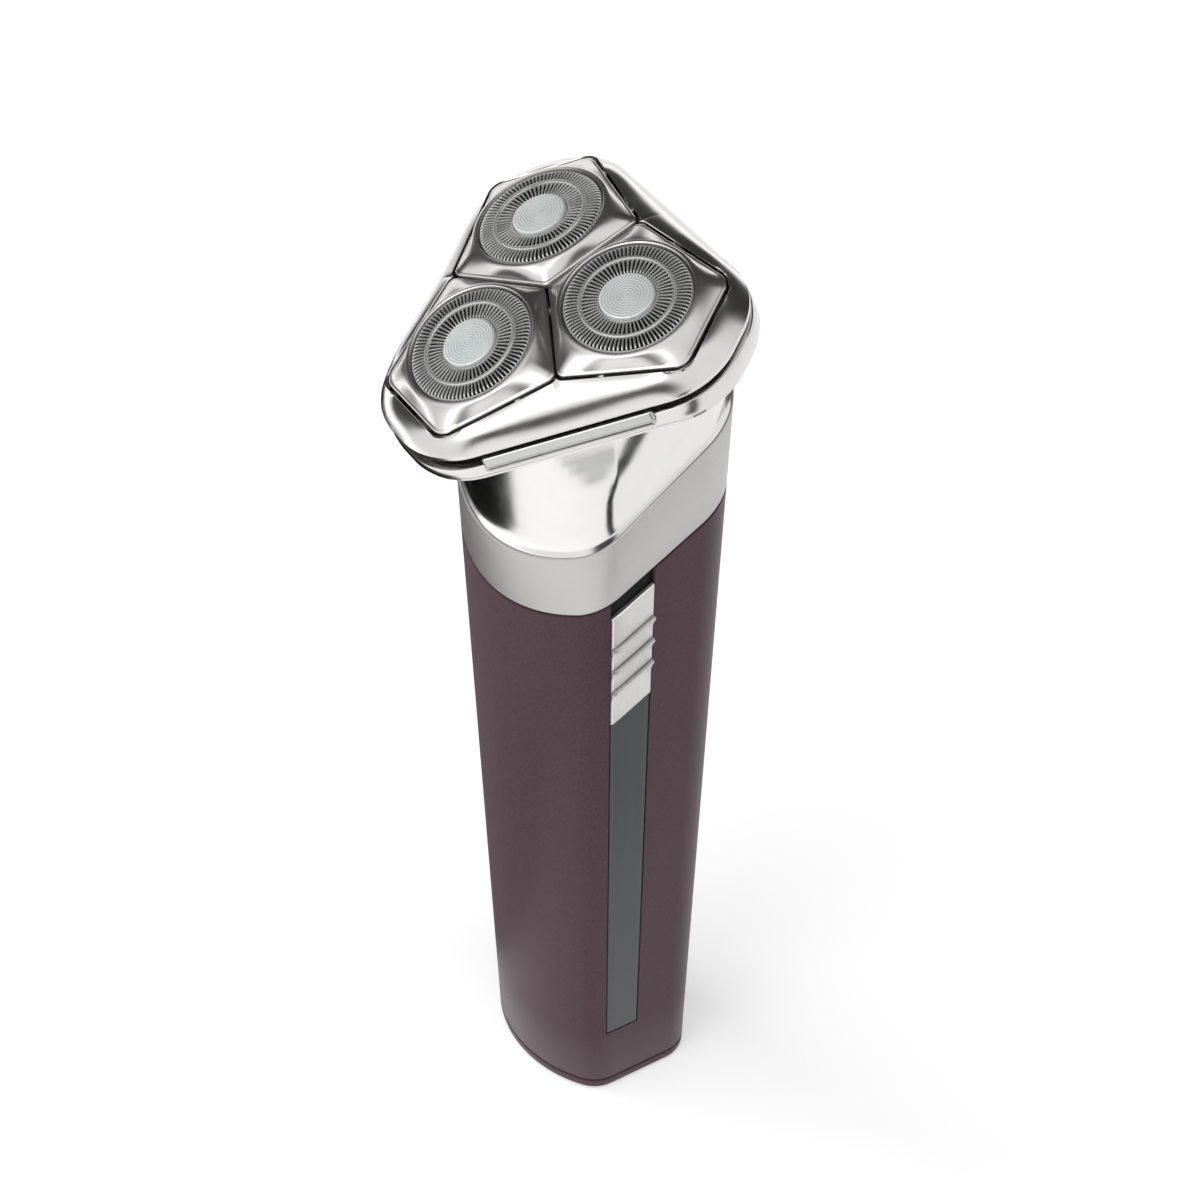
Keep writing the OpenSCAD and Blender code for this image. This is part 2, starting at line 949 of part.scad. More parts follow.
module plate(u) {
    // Pillowed plate with a bore for the guard and two pivot pins
    color([0.86, 0.85, 0.84])
        unit(u)
            difference() {
                union() {
                    difference() {
                        union() {
                            hull() {
                                disc(guard_bore + 0.9, -0.9, -0.35);
                                plate_prism(plate_edge - 0.3, plate_edge, -plate_gap / 2 - 0.25, 1.6);
                                plate_prism(plate_edge - 0.6, plate_edge - 0.4, -plate_gap / 2, 1.6);
                            }
                            plate_prism(plate_skirt, plate_edge - 0.5, -plate_gap / 2, 1.6);
                        }
                        plate_prism(plate_skirt - 1, plate_edge - 0.6, -plate_gap / 2 - 1, 1.2);
                    }
                    for (side = [-1, 1])
                        translate([side > 0 ? 11.9 : -pivot_x, 0, pivot_depth])
                            rotate([0, 90, 0])
                                cylinder(r = pivot_r, h = pivot_x - 11.9);
                    for (side = [-1, 1])
                        translate([side * 12 - 0.45, -1.1, pivot_depth - 0.8])
                            cube([0.9, 2.2, plate_edge - pivot_depth]);
                }
                disc(guard_bore, -6, 2);
            }
}

// A ring of radial slots, each a path of four points
slot_corners = [[0, -1], [1, -1], [1, 1], [0, 1]];
function slot_points(count, track, share) = [for (k = [0:count - 1]) for (c = slot_corners)
    let (r = disc_r * track[c[0]], a = 360 * (k + share * c[1] / 2) / count) [r * cos(a), r * sin(a)]];

module slots(count, track) {
    pts = slot_points(count, track, 0.5);
    polygon(points = pts, paths = [for (k = [0:count - 1]) [for (j = [0:3]) 4 * k + j]]);
}

module guard(u) {
    // Slotted cap with two shaving tracks and a skirt inside the plate's bore
    color([0.7, 0.7, 0.72])
        unit(u) {
            at_height(-0.4)
                linear_extrude(height = 0.4)
                    difference() {
                        circle(r = disc_r);
                        circle(r = cap_r + 0.02);
                        slots(slots_outer, track_outer);
                        slots(slots_inner, track_inner);
                    }
            ring(disc_r - 0.3, disc_r, -2.9, -0.39);
            ring(disc_r - 0.1, disc_r + 0.7, -2.9, -2.62);
            ring(disc_r * 0.70, disc_r * 0.745, -0.4, 0.2);
        }
}

module cap(u) {
    // Plain centre disc of the guard
    color([0.72, 0.76, 0.78])
        unit(u) {
            disc(cap_r, -0.4, 0.3);
            disc(1, -1.1, -0.3);
        }
}

module cutter(u) {
    // Spinning cutter: two rings of raised blades on a disc, driven by a slotted hub
    color([0.6, 0.6, 0.62])
        unit(u)
            difference() {
                union() {
                    ring(4.4, 9, -2.1, -1.5);
                    disc(4.5, -2.1, -1.5);
                    for (k = [0:8])
                        rotate([0, 0, 40 * k]) {
                            translate([7.3, -0.3, -1.6])
                                cube([1.6, 0.6, 1]);
                            translate([4.9, -0.3, -1.6])
                                cube([1.5, 0.6, 1]);
                        }
                    disc(2.7, -5.2, -2);
                }
                rotate([0, 0, 90])
                    translate([-1.7, -1.1, -6])
                        cube([3.4, 2.2, 2.8]);
                disc(1.2, -1.9, 0);
            }
}

body_shell();
base_cap();
base_screws();
side_strip();
switch_track();
trim_band();
neck_cover();
chassis();
battery_cell();
battery_tabs();
circuit_board();
board_screws();
charge_socket();
switch_case();
motor_can();
motor_end_bell();
motor_screws();
gear_housing();
gear_axles();
head_tray();
thumb_ledges();
tray_seal();
tray_screws();
hinge_pin();
power_slider();
switch_lever();
motor_shaft();
drive_pinion();
gear(FRONT);  // gear_front
gear(RIGHT);  // gear_right
gear(LEFT);  // gear_left
spindle(FRONT);  // spindle_front
spindle(RIGHT);  // spindle_right
spindle(LEFT);  // spindle_left
spring(FRONT);  // spring_front
spring(RIGHT);  // spring_right
spring(LEFT);  // spring_left
head_frame();
cutter_carrier();
carrier_lock();
plate(FRONT);  // plate_front
plate(RIGHT);  // plate_right
plate(LEFT);  // plate_left
guard(FRONT);  // guard_front
guard(RIGHT);  // guard_right
guard(LEFT);  // guard_left
cap(FRONT);  // cap_front
cap(RIGHT);  // cap_right
cap(LEFT);  // cap_left
cutter(FRONT);  // cutter_front
cutter(RIGHT);  // cutter_right
cutter(LEFT);  // cutter_left
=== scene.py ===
"""Looks for the cordless rotary shaver: mesh pieces, materials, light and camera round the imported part.

Helpers work in millimetres in the part's own frame; meshes are written in metres.
"""

import json
import math

import bmesh
import bpy
import numpy as np
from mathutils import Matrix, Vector

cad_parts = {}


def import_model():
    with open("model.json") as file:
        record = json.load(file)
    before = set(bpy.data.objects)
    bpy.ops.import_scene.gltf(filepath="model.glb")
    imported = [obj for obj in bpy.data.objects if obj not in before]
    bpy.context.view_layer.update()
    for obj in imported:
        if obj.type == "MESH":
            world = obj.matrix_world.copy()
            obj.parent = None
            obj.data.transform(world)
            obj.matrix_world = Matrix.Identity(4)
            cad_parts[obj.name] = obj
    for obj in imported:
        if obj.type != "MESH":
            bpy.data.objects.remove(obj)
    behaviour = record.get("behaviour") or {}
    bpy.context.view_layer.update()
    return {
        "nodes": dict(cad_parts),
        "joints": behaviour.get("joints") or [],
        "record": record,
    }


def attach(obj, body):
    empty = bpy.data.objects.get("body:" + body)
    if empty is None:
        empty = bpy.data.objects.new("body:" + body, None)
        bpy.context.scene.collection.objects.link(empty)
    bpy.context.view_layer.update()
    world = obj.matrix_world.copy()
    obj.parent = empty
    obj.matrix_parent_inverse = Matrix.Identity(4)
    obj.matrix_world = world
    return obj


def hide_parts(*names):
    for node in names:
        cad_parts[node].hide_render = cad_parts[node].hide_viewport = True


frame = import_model()
MM = 0.001
JOINTS = {j["name"]: j for j in frame["joints"]}

# ---- Handle: flat sides, round corners, bowed front and back; the section grows with height ----
HALF_W, HALF_D = 15.9, 14.6
CORNER_R, FACE_R = 5.8, 23.0
TAPER = 0.00247
WALL = 1.6
BASE_H = 2.4
SEAM_GAP = 0.12  # the shell stops this far short of the base cap and of BAND_LOW
REBATE, COLLAR_H = 1.25, 2.9  # the shell's thinner collar inside the band and the neck
LEFT_POINT = 2.0  # the left side's flat has an outline point this far either side of its middle
FACE_Y = HALF_D - FACE_R
CORNER_X = HALF_W - CORNER_R
CORNER_Y = FACE_Y + math.sqrt((FACE_R - CORNER_R) ** 2 - CORNER_X**2)
CORNER_END = math.degrees(math.atan2(CORNER_Y - FACE_Y, CORNER_X))

# ---- Inlay, slider and band ----
STRIP_LOW, STRIP_FRONT, STRIP_REAR = 14.4, -6.8, -0.8
GROOVE = 0.8
SLIDER_LOW, SLIDER_LEN, SLANT = 93.2, 22.8, math.tan(math.radians(29.9))
RIDGES = (0.31, 0.51, 0.71)  # places of the slider's ridges, as shares of its length
# A ridge's profile from below its place to above it: a slope, a fine groove, a bead and a deep groove
RIDGE = ((-1.9, 0.25), (-0.5, 0.6), (-0.42, 0.36), (-0.28, 0.36), (-0.2, 0.8),
         (-0.02, 0.88), (0.14, 0.8), (0.2, 0.0), (0.5, 0.0), (0.58, 0.25))
RIDGE_MIDDLE = -0.6
BAND_LOW = 119.1
BAND_HIGH, HIGH_SLANT = 132.7, math.tan(math.radians(35.6))

# ---- Head: heights are measured from the plane of the discs, along the head's axis ----
AXIS = np.array(JOINTS["motor_spin"]["axis"], float)
ACROSS = np.array([1.0, 0.0, 0.0])
UPWARD = np.cross(AXIS, ACROSS)
HEAD_ORIGIN = np.array([0.0, -7.5, 160.5])
FRAME_LOW, FRAME_KNEE = -7.1, -6.2
CROWN_DROP, CROWN_GAP = 0.38, 0.18  # the frame's inner edge lies below and outside the plates' edges
TRAY_LOW, TRAY_FLOOR = -11.8, -10.6
SEAM_FRONT, SEAM_REAR = -9.4, -8.0
HINGE_Y, HINGE_H, HINGE_R = 21.8, -8.2, 1.0
KNUCKLE_X = 6.9
NECK_TOP, NECK_WALL = -14.0, 2.2
HEAD_CORNER, HEAD_SPREAD, HEAD_R = 18.1, 5.1, 12.1
HEAD_SIDE = HEAD_CORNER * math.cos(math.radians(60 - HEAD_SPREAD)) + HEAD_R
GEAR_RING = 13.5
BOSS_R, BOSS_BORE = 3.9, 2.15
LEDGE_LOW, LEDGE_HIGH, LEDGE_LEN = -9.9, -7.6, 26

# ---- Shaving units, each in its plate's own frame ----
UNITS = {"front": -90, "right": 30, "left": 150}
DISC_RING, DISC_R = 14.0, 9.65
LEAN = math.radians(6.3)
PLATE_GAP = 0.8
PLATE_EDGE, PLATE_SKIRT = -1.95, -3.0
BORE_R = DISC_R + 0.25
CAP_R = 0.43 * DISC_R
PIVOT_DEPTH, PIVOT_R, PIVOT_X = -4.5, 0.6, 14.6

THETA = np.radians(np.arange(0, 360, 0.5))
HALVINGS = 40  # steps of a search by bisection
TINY, SLACK = 1e-12, 1e-9
SHARP = 32  # degrees between two faces above which their edge is kept sharp


# ------------------------------------------------------------------ meshes
def skin(rings, closed=False, fan=False):
    """Quads between rings of equal point count. A closed stack joins last to first, others get ends."""
    rings = [np.asarray(r, float) for r in rings]
    n, count = len(rings[0]), len(rings)
    faces = []
    for a in range(count if closed else count - 1):
        b = (a + 1) % count
        faces += [(a * n + j, a * n + (j + 1) % n, b * n + (j + 1) % n, b * n + j) for j in range(n)]
    verts = np.vstack(rings)
    if not closed and fan:
        middle = [rings[0].mean(0), rings[-1].mean(0)]
        verts = np.vstack([verts, middle])
        low, high, last = count * n, count * n + 1, (count - 1) * n
        faces += [((j + 1) % n, j, low) for j in range(n)]
        faces += [(last + j, last + (j + 1) % n, high) for j in range(n)]
    elif not closed:
        faces += [tuple(range(n))[::-1], tuple(range((count - 1) * n, count * n))]
    return verts, faces


def joined(*parts):
    """Several vertex and face lists as one."""
    verts, faces, base = [], [], 0
    for v, f in parts:
        verts.append(v)
        faces += [tuple(i + base for i in face) for face in f]
        base += len(v)
    return np.vstack(verts), faces


def placed(part, move):
    """The same faces with every vertex passed through move."""
    return move(part[0]), part[1]


def make(name, part, material, sharp=SHARP, merge=2e-6):
    """A mesh object from millimetre vertices: doubles merged, normals outward, sharp edges marked."""
    verts, faces = part
    mesh = bpy.data.meshes.new(name)
    mesh.from_pydata([tuple(p) for p in np.asarray(verts) * MM], [], faces)
    bm = bmesh.new()
    bm.from_mesh(mesh)
    bmesh.ops.remove_doubles(bm, verts=bm.verts, dist=merge)
    bmesh.ops.dissolve_degenerate(bm, dist=1e-7, edges=bm.edges)
    bmesh.ops.recalc_face_normals(bm, faces=bm.faces)
    for face in bm.faces:
        face.smooth = True
    bm.to_mesh(mesh)
    bm.free()
    mesh.set_sharp_from_angle(angle=math.radians(sharp))
    mesh.materials.append(material)
    obj = bpy.data.objects.new(name, mesh)
    bpy.context.scene.collection.objects.link(obj)
    return obj


def cut(obj, *tools):
    """Subtracts closed shapes from an object."""
    for tool in tools:
        cutter = make("cutter_tool", tool, obj.data.materials[0])
        mod = obj.modifiers.new("cut", "BOOLEAN")
        mod.operation, mod.solver, mod.object = "DIFFERENCE", "EXACT", cutter
        bpy.context.view_layer.update()
        evaluated = obj.evaluated_get(bpy.context.evaluated_depsgraph_get())
        mesh = bpy.data.meshes.new_from_object(evaluated)
        obj.modifiers.clear()
        obj.data = mesh
        bpy.data.objects.remove(cutter)
    obj.data.set_sharp_from_angle(angle=math.radians(SHARP))
    return obj


def piece(obj, body, slot_name, *nodes):
    """The object rides on its body and stands for its CAD nodes, which it hides; slot_name is not used."""
    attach(obj, body)
    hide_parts(*nodes)
    return obj


def box(x0, x1, y0, y1, z0, z1):
    """A block, as two rings."""
    low = np.array([[x0, y0, z0], [x1, y0, z0], [x1, y1, z0], [x0, y1, z0]], float)
    return skin([low, low + [0, 0, z1 - z0]])


def lathe(profile, steps=96):
    """A profile of (radius, height) points turned about Z: solid if it starts on the axis, else a ring."""
    a = np.linspace(0, 2 * math.pi, steps, endpoint=False)
    solid = profile[0][0] == 0
    rows = profile[1:-1] if solid else profile
    rings = [np.c_[r * np.cos(a), r * np.sin(a), np.full(steps, h)] for r, h in rows]
    return skin(rings, closed=not solid, fan=solid)


def rod(radius, x0, x1, y, z, steps=24):
    """A cylinder along X."""
    a = np.linspace(0, 2 * math.pi, steps, endpoint=False)
    ring = np.c_[np.zeros(steps), y + radius * np.cos(a), z + radius * np.sin(a)]
    return skin([ring + [x0, 0, 0], ring + [x1, 0, 0]])


# ------------------------------------------------------------------ handle shapes
def arc(cx, cy, r, a0, a1, n):
    """Points on a circle from a0 to a1 degrees, in n steps."""
    a = np.radians(np.linspace(a0, a1, n + 1))
    return [(cx + r * math.cos(t), cy + r * math.sin(t)) for t in a]


def side_x(y, inset=0.0):
    """X of the +X side at a base-scale y, inside the surface by inset: flat, then the round corner."""
    over = np.maximum(np.abs(y) - CORNER_Y, 0)
    return CORNER_X + np.sqrt((CORNER_R - inset) ** 2 - over**2)


def section(inset=0.0, groove=0.0):
    """The handle's outline at its base, inside the surface by inset, with the inlay's groove at +X."""
    bend = [STRIP_FRONT + 0.4, STRIP_FRONT + 0.8, -CORNER_Y]
    y = np.array([STRIP_FRONT, STRIP_FRONT, *bend, STRIP_REAR, STRIP_REAR])
    sunk = groove * np.array([0, 1, 1, 1, 1, 1, 0])
    right = list(zip(side_x(y, inset + sunk), y))
    steps, face_steps = 12, 16
    quarter = arc(CORNER_X, CORNER_Y, CORNER_R - inset, 0, CORNER_END, steps)
    quarter += arc(0, FACE_Y, FACE_R - inset, CORNER_END, 90, face_steps)[1:]
    half = quarter + [(-px, py) for px, py in reversed(quarter[:-1])]
    left = [(inset - HALF_W, LEFT_POINT), (inset - HALF_W, -LEFT_POINT)]
    edge = math.degrees(math.asin((STRIP_FRONT + CORNER_Y) / (CORNER_R - inset)))
    last = arc(CORNER_X, -CORNER_Y, CORNER_R - inset, -CORNER_END, edge, steps)[:-1]
    return np.array(right + half + left + [(-px, -py) for px, py in half[:-steps - 1]] + last)


def level(y, z0, slant):
    """Height at which a column with base-scale y meets the plane that crosses Y = 0 at z0."""
    return (z0 + slant * y) / (1 - slant * TAPER * y)


def handle_ring(z0, slant=0.0, inset=0.0, groove=0.0):
    """The handle's outline where a plane that crosses Y = 0 at z0 cuts it."""
    flat = section(inset, groove)
    z = level(flat[:, 1], z0, slant)
    return np.c_[flat * (1 + TAPER * z)[:, None], z]


def side_pad(y0, y1, inner, stations, edge=0.2):
    """A pad on the +X side from y0 to y1 with rolled edges. A station is (height, slant, way outwards)."""
    middle = list(np.linspace(y0 + edge, y1 - edge, 7))
    y = np.array([y0, y0, y0 + 0.3 * edge] + middle + [y1 - 0.3 * edge, y1, y1])
    rings = []
    for z0, slant, out in stations:
        rolled = [inner, out - edge, out - 0.35 * edge]
        depth = rolled + [out] * len(middle) + rolled[::-1]
        z = level(y, z0, slant)
        rings.append(np.c_[side_x(y, -np.array(depth)) * (1 + TAPER * z), y * (1 + TAPER * z), z])
    return skin(rings)


def slider_slot():
    """Slot for the slider's stem, with room for its stroke, and the stem's Y and Z."""
    grow = 1 + TAPER * SLIDER_LOW
    y = (STRIP_FRONT + STRIP_REAR) / 2 * grow
    z = SLIDER_LOW + SLIDER_LEN / 2 + y * SLANT
    inside, outside, half_w, below, above = 12, 28, 1.6, 2.2, 4.8
    return box(inside, outside, y - half_w, y + half_w, z - below, z + above), y, z


# ------------------------------------------------------------------ head shapes
def to_world(points):
    """From the head's frame to the part's frame."""
    p = np.asarray(points, float)
    return HEAD_ORIGIN + p[:, :1] * ACROSS + p[:, 1:2] * UPWARD + p[:, 2:] * AXIS


def to_head(points):
    """From the part's frame to the head's frame."""
    p = np.asarray(points, float) - HEAD_ORIGIN
    return np.c_[p @ ACROSS, p @ UPWARD, p @ AXIS]


def turned(points, degrees):
    """Points turned about Z."""
    a = math.radians(degrees)
    p = np.array(points, float)
    x, y = p[:, 0].copy(), p[:, 1].copy()
    p[:, 0] = x * math.cos(a) - y * math.sin(a)
    p[:, 1] = x * math.sin(a) + y * math.cos(a)
    return p


def unit_to_head(points, u):
    """From a plate's own frame, with +Y towards the head's axis, to the head's frame."""
    p = np.array(points, float)
    y, z = p[:, 1].copy(), p[:, 2].copy()
    p[:, 1] = y * math.cos(LEAN) - z * math.sin(LEAN) - DISC_RING
    p[:, 2] = y * math.sin(LEAN) + z * math.cos(LEAN)
    return turned(p, u + 90)


def unit_to_world(points, u):
    """From a plate's own frame to the part's frame."""
    return to_world(unit_to_head(points, u))


CORNER_ANGLES = [math.radians(u + s * HEAD_SPREAD) for u in UNITS.values() for s in (-1, 1)]
HEX = HEAD_CORNER * np.array([(math.cos(a), math.sin(a)) for a in CORNER_ANGLES])


def head_distance(x, y):
    """Signed distance to the head's outline, a hexagon widened by HEAD_R. It is negative inside."""
    p = np.stack([x, y], -1)
    near, inside = np.full(x.shape, 1e9), np.ones(x.shape, bool)
    for i in range(len(HEX)):
        a, b = HEX[i], HEX[(i + 1) % len(HEX)]
        e, w = b - a, p - a
        t = np.clip((w @ e) / (e @ e), 0, 1)
        near = np.minimum(near, np.linalg.norm(w - t[..., None] * e, axis=-1))
        inside &= (e[0] * w[..., 1] - e[1] * w[..., 0]) >= 0
    return np.where(inside, -near, near) - HEAD_R


def head_radius(inset=0.0):
    """Distance from the head's axis to its outline in each direction THETA."""
    farthest = 60.0
    low, high = np.zeros(len(THETA)), np.full(len(THETA), farthest)
    for _ in range(HALVINGS):
        mid = (low + high) / 2
        out = head_distance(mid * np.cos(THETA), mid * np.sin(THETA)) + inset > 0
        high, low = np.where(out, mid, high), np.where(out, low, mid)
    return (low + high) / 2


def polar(radius, height, theta=THETA):
    """A ring round Z with a radius and a height in each direction."""
    radius, height = np.broadcast_to(radius, theta.shape), np.broadcast_to(height, theta.shape)
    return np.c_[radius * np.cos(theta), radius * np.sin(theta), height]


def seam(radius):
    """Height of the tray's upper edge, which rises from the front corner to the rear side."""
    front = -HEAD_CORNER - HEAD_R
    share = (radius * np.sin(THETA) - front) / (HINGE_Y - front)
    return SEAM_FRONT + (SEAM_REAR - SEAM_FRONT) * share


def plate_corners():
    """The plate's five corners: one on the head's axis, two wings and two at its far end."""
    arm, end_x, end_y = 17.3, 8.15, -12.9
    wing_x, wing_y = arm * math.cos(math.radians(30)), DISC_RING - arm * math.sin(math.radians(30))
    return np.array([[0, DISC_RING], [wing_x, wing_y], [end_x, end_y], [-end_x, end_y], [-wing_x, wing_y]])


def plate_outline(spread):
    """The plate's rounded five-sided outline, moved outwards by spread, clockwise from the head's axis."""
    points, radii, steps = plate_corners(), (1.0, 1.3, 2.6, 2.6, 1.3), 9
    out = []
    for i, b in enumerate(points):
        a, c, r = points[i - 1], points[(i + 1) % 5], radii[i]
        n_in, n_out = [np.array([-d[1], d[0]]) / np.linalg.norm(d) for d in (b - a, c - b)]
        half = (n_in + n_out) / 2
        centre = b + half / (half @ half) * (spread - r)
        start, sweep = math.atan2(n_in[1], n_in[0]), -math.acos(n_in @ n_out)
        for angle in np.linspace(start, start + sweep, steps):
            out.append(centre + r * np.array([math.cos(angle), math.sin(angle)]))
    return np.array(out)


def cast(outline, theta):
    """Farthest distance from the origin to a closed outline in each direction."""
    a, b = outline, np.roll(outline, -1, 0)
    d = np.stack([np.cos(theta), np.sin(theta)], -1)[:, None]
    e = (b - a)[None]
    cross = d[..., 0] * e[..., 1] - d[..., 1] * e[..., 0]
    cross = np.where(np.abs(cross) < TINY, TINY, cross)
    r = (a[None, :, 0] * e[..., 1] - a[None, :, 1] * e[..., 0]) / cross
    t = (a[None, :, 0] * d[..., 1] - a[None, :, 1] * d[..., 0]) / cross
    hit = (t > -SLACK) & (t < 1 + SLACK) & (r > 0)
    return np.where(hit, r, 0).max(1)


def plates_rim(spread):
    """Radius and height of the outer edge of the three plates together, seen along the head's axis."""
    radius, height = np.zeros(len(THETA)), np.zeros(len(THETA))
    for u in UNITS.values():
        flat = plate_outline(spread)
        edge = unit_to_head(np.c_[flat, np.full(len(flat), PLATE_EDGE)], u)
        r = cast(edge[:, :2], THETA)
        away = r * np.cos(THETA - math.radians(u)) - DISC_RING
        h = PLATE_EDGE / math.cos(LEAN) - away * math.tan(LEAN)
        radius, height = np.where(r > radius, r, radius), np.where(r > radius, h, height)
    return radius, height


# ------------------------------------------------------------------ materials
def shader(name, colour, metallic, roughness, **sockets):
    """A plain Principled material. Extra sockets are set on the shader itself."""
    mat = bpy.data.materials.new(name)
    mat.use_nodes = True
    tree = mat.node_tree
    bsdf = tree.nodes["Principled BSDF"]
    bsdf.inputs["Base Color"].default_value = (*colour, 1)
    bsdf.inputs["Metallic"].default_value = metallic
    bsdf.inputs["Roughness"].default_value = roughness
    for key, value in sockets.items():
        bsdf.inputs[key.replace("_", " ")].default_value = value
    return mat


def add_relief(nodes, links, height, strength, distance):
    """Raises the shader's surface by a height output."""
    relief = nodes.new("ShaderNodeBump")
    relief.inputs["Strength"].default_value = strength
    relief.inputs["Distance"].default_value = distance
    links.new(height, relief.inputs["Height"])
    links.new(relief.outputs["Normal"], nodes["Principled BSDF"].inputs["Normal"])


def vary(mat, grain, tint, wear, stretch=(1, 1, 1), bump=0.0):
    """Noise of scale grain moves colour by the share tint, roughness by wear, and the surface by bump."""
    noise_low, noise_high, detail, bump_distance = 0.3, 0.7, 4.0, 0.0001
    nodes, links = mat.node_tree.nodes, mat.node_tree.links
    bsdf = nodes["Principled BSDF"]
    place, mapping = nodes.new("ShaderNodeTexCoord"), nodes.new("ShaderNodeMapping")
    noise = nodes.new("ShaderNodeTexNoise")
    mapping.inputs["Scale"].default_value = stretch
    noise.inputs["Scale"].default_value = grain
    noise.inputs["Detail"].default_value = detail
    links.new(place.outputs["Object"], mapping.inputs["Vector"])
    links.new(mapping.outputs["Vector"], noise.inputs["Vector"])
    base = bsdf.inputs["Base Color"].default_value[:3]
    ramp = nodes.new("ShaderNodeValToRGB")
    darker, lighter = ramp.color_ramp.elements
    darker.position, lighter.position = noise_low, noise_high
    darker.color = [c * (1 - tint) for c in base] + [1]
    lighter.color = [min(1.0, c * (1 + tint)) for c in base] + [1]
    links.new(noise.outputs["Fac"], ramp.inputs["Fac"])
    links.new(ramp.outputs["Color"], bsdf.inputs["Base Color"])
    if wear:
        spread = nodes.new("ShaderNodeMapRange")
        middle = bsdf.inputs["Roughness"].default_value
        spread.inputs["From Min"].default_value = noise_low
        spread.inputs["From Max"].default_value = noise_high
        spread.inputs["To Min"].default_value = middle - wear
        spread.inputs["To Max"].default_value = middle + wear
        links.new(noise.outputs["Fac"], spread.inputs["Value"])
        links.new(spread.outputs["Result"], bsdf.inputs["Roughness"])
    if bump:
        add_relief(nodes, links, noise.outputs["Fac"], bump, bump_distance)
    return mat


def turned_finish(mat):
    """Adds concentric lathe marks round the origin of the mesh's UV map, which is in millimetres."""
    marks_per_mm, strength, distance = 0.7, 0.6, 0.00008
    nodes, links = mat.node_tree.nodes, mat.node_tree.links
    uv, wave = nodes.new("ShaderNodeUVMap"), nodes.new("ShaderNodeTexWave")
    uv.uv_map = CAP_UV
    wave.wave_type, wave.rings_direction = "RINGS", "SPHERICAL"
    wave.inputs["Scale"].default_value = marks_per_mm
    wave.inputs["Distortion"].default_value = 0.0
    links.new(uv.outputs["UV"], wave.inputs["Vector"])
    add_relief(nodes, links, wave.outputs["Fac"], strength, distance)


CAP_UV = "flat"
UP_STREAKS, ROUND_STREAKS, SIDE_STREAKS = (1, 1, 0.1), (0.1, 0.1, 1.0), (1.0, 0.1, 0.1)
MAT = {}


def add_material(name, colour, metallic, roughness, grain, tint, wear,
                 stretch=(1, 1, 1), bump=0.0, **sockets):
    """Adds a material to MAT, as shader and vary make it."""
    MAT[name] = vary(shader(name, colour, metallic, roughness, **sockets), grain, tint, wear, stretch, bump)


# Arguments in order: name, colour, metallic, roughness, grain, tint, wear
add_material("soft_touch_shell", (0.045, 0.0145, 0.0235), 0, 0.48, 2600, 0.4, 0.06, bump=0.12,
             Specular_IOR_Level=0.26, Sheen_Weight=0.12)
add_material("black_plastic", (0.004, 0.004, 0.0045), 0, 0.6, 900, 0.2, 0.06, Specular_IOR_Level=0.2)
add_material("black_rubber", (0.006, 0.006, 0.006), 0, 0.7, 900, 0.2, 0.05, bump=0.1)
add_material("strip_satin", (0.056, 0.066, 0.067), 0.2, 0.45, 500, 0.06, 0.04, UP_STREAKS)
add_material("satin_band", (0.555, 0.545, 0.525), 1, 0.5, 900, 0.03, 0.03, ROUND_STREAKS, bump=0.05)
add_material("slider_satin", (0.66, 0.65, 0.63), 0.9, 0.36, 1200, 0.05, 0.04, bump=0.06)
add_material("polished_chrome", (0.78, 0.775, 0.76), 1, 0.17, 300, 0.02, 0.02)
add_material("brushed_metal", (0.72, 0.71, 0.69), 1, 0.21, 500, 0.02, 0.02, SIDE_STREAKS)
add_material("ledge_satin", (0.55, 0.55, 0.54), 1, 0.22, 900, 0.03, 0.03)
add_material("plate_metal", (0.72, 0.71, 0.685), 1, 0.3, 500, 0.02, 0.02, SIDE_STREAKS)
add_material("guard_steel", (0.64, 0.64, 0.63), 0.65, 0.25, 1500, 0.04, 0.04)
add_material("cap_satin", (0.7, 0.745, 0.735), 0.3, 0.38, 900, 0.03, 0.03)
turned_finish(MAT["cap_satin"])
# Pieces under the guards and inside the handle
# The cutters are steel parts coloured near black: painted shade, so that the head's inside looks dark
# through the guards' slots
add_material("cutter_painted_shade", (0.06, 0.06, 0.062), 0.8, 0.4, 700, 0.06, 0.05)
add_material("steel", (0.55, 0.55, 0.56), 1, 0.3, 700, 0.06, 0.05)
add_material("brass", (0.7, 0.5, 0.2), 1, 0.3, 700, 0.06, 0.05)
add_material("white_plastic", (0.78, 0.78, 0.75), 0, 0.4, 500, 0.03, 0.05)
add_material("lock_plastic", (0.03, 0.004, 0.005), 0, 0.35, 500, 0.06, 0.05)
add_material("cell_wrap", (0.05, 0.14, 0.3), 0, 0.3, 300, 0.06, 0.04)
add_material("board_green", (0.02, 0.1, 0.045), 0, 0.4, 500, 0.12, 0.05)

CUTTERS = {f"cutter_{name}" for name in UNITS}
SLOT_OF = {s["node"]: s["material_slot"] for s in frame["record"]["subparts"]}


# ------------------------------------------------------------------ handle pieces
slot_box, stem_y, stem_z = slider_slot()


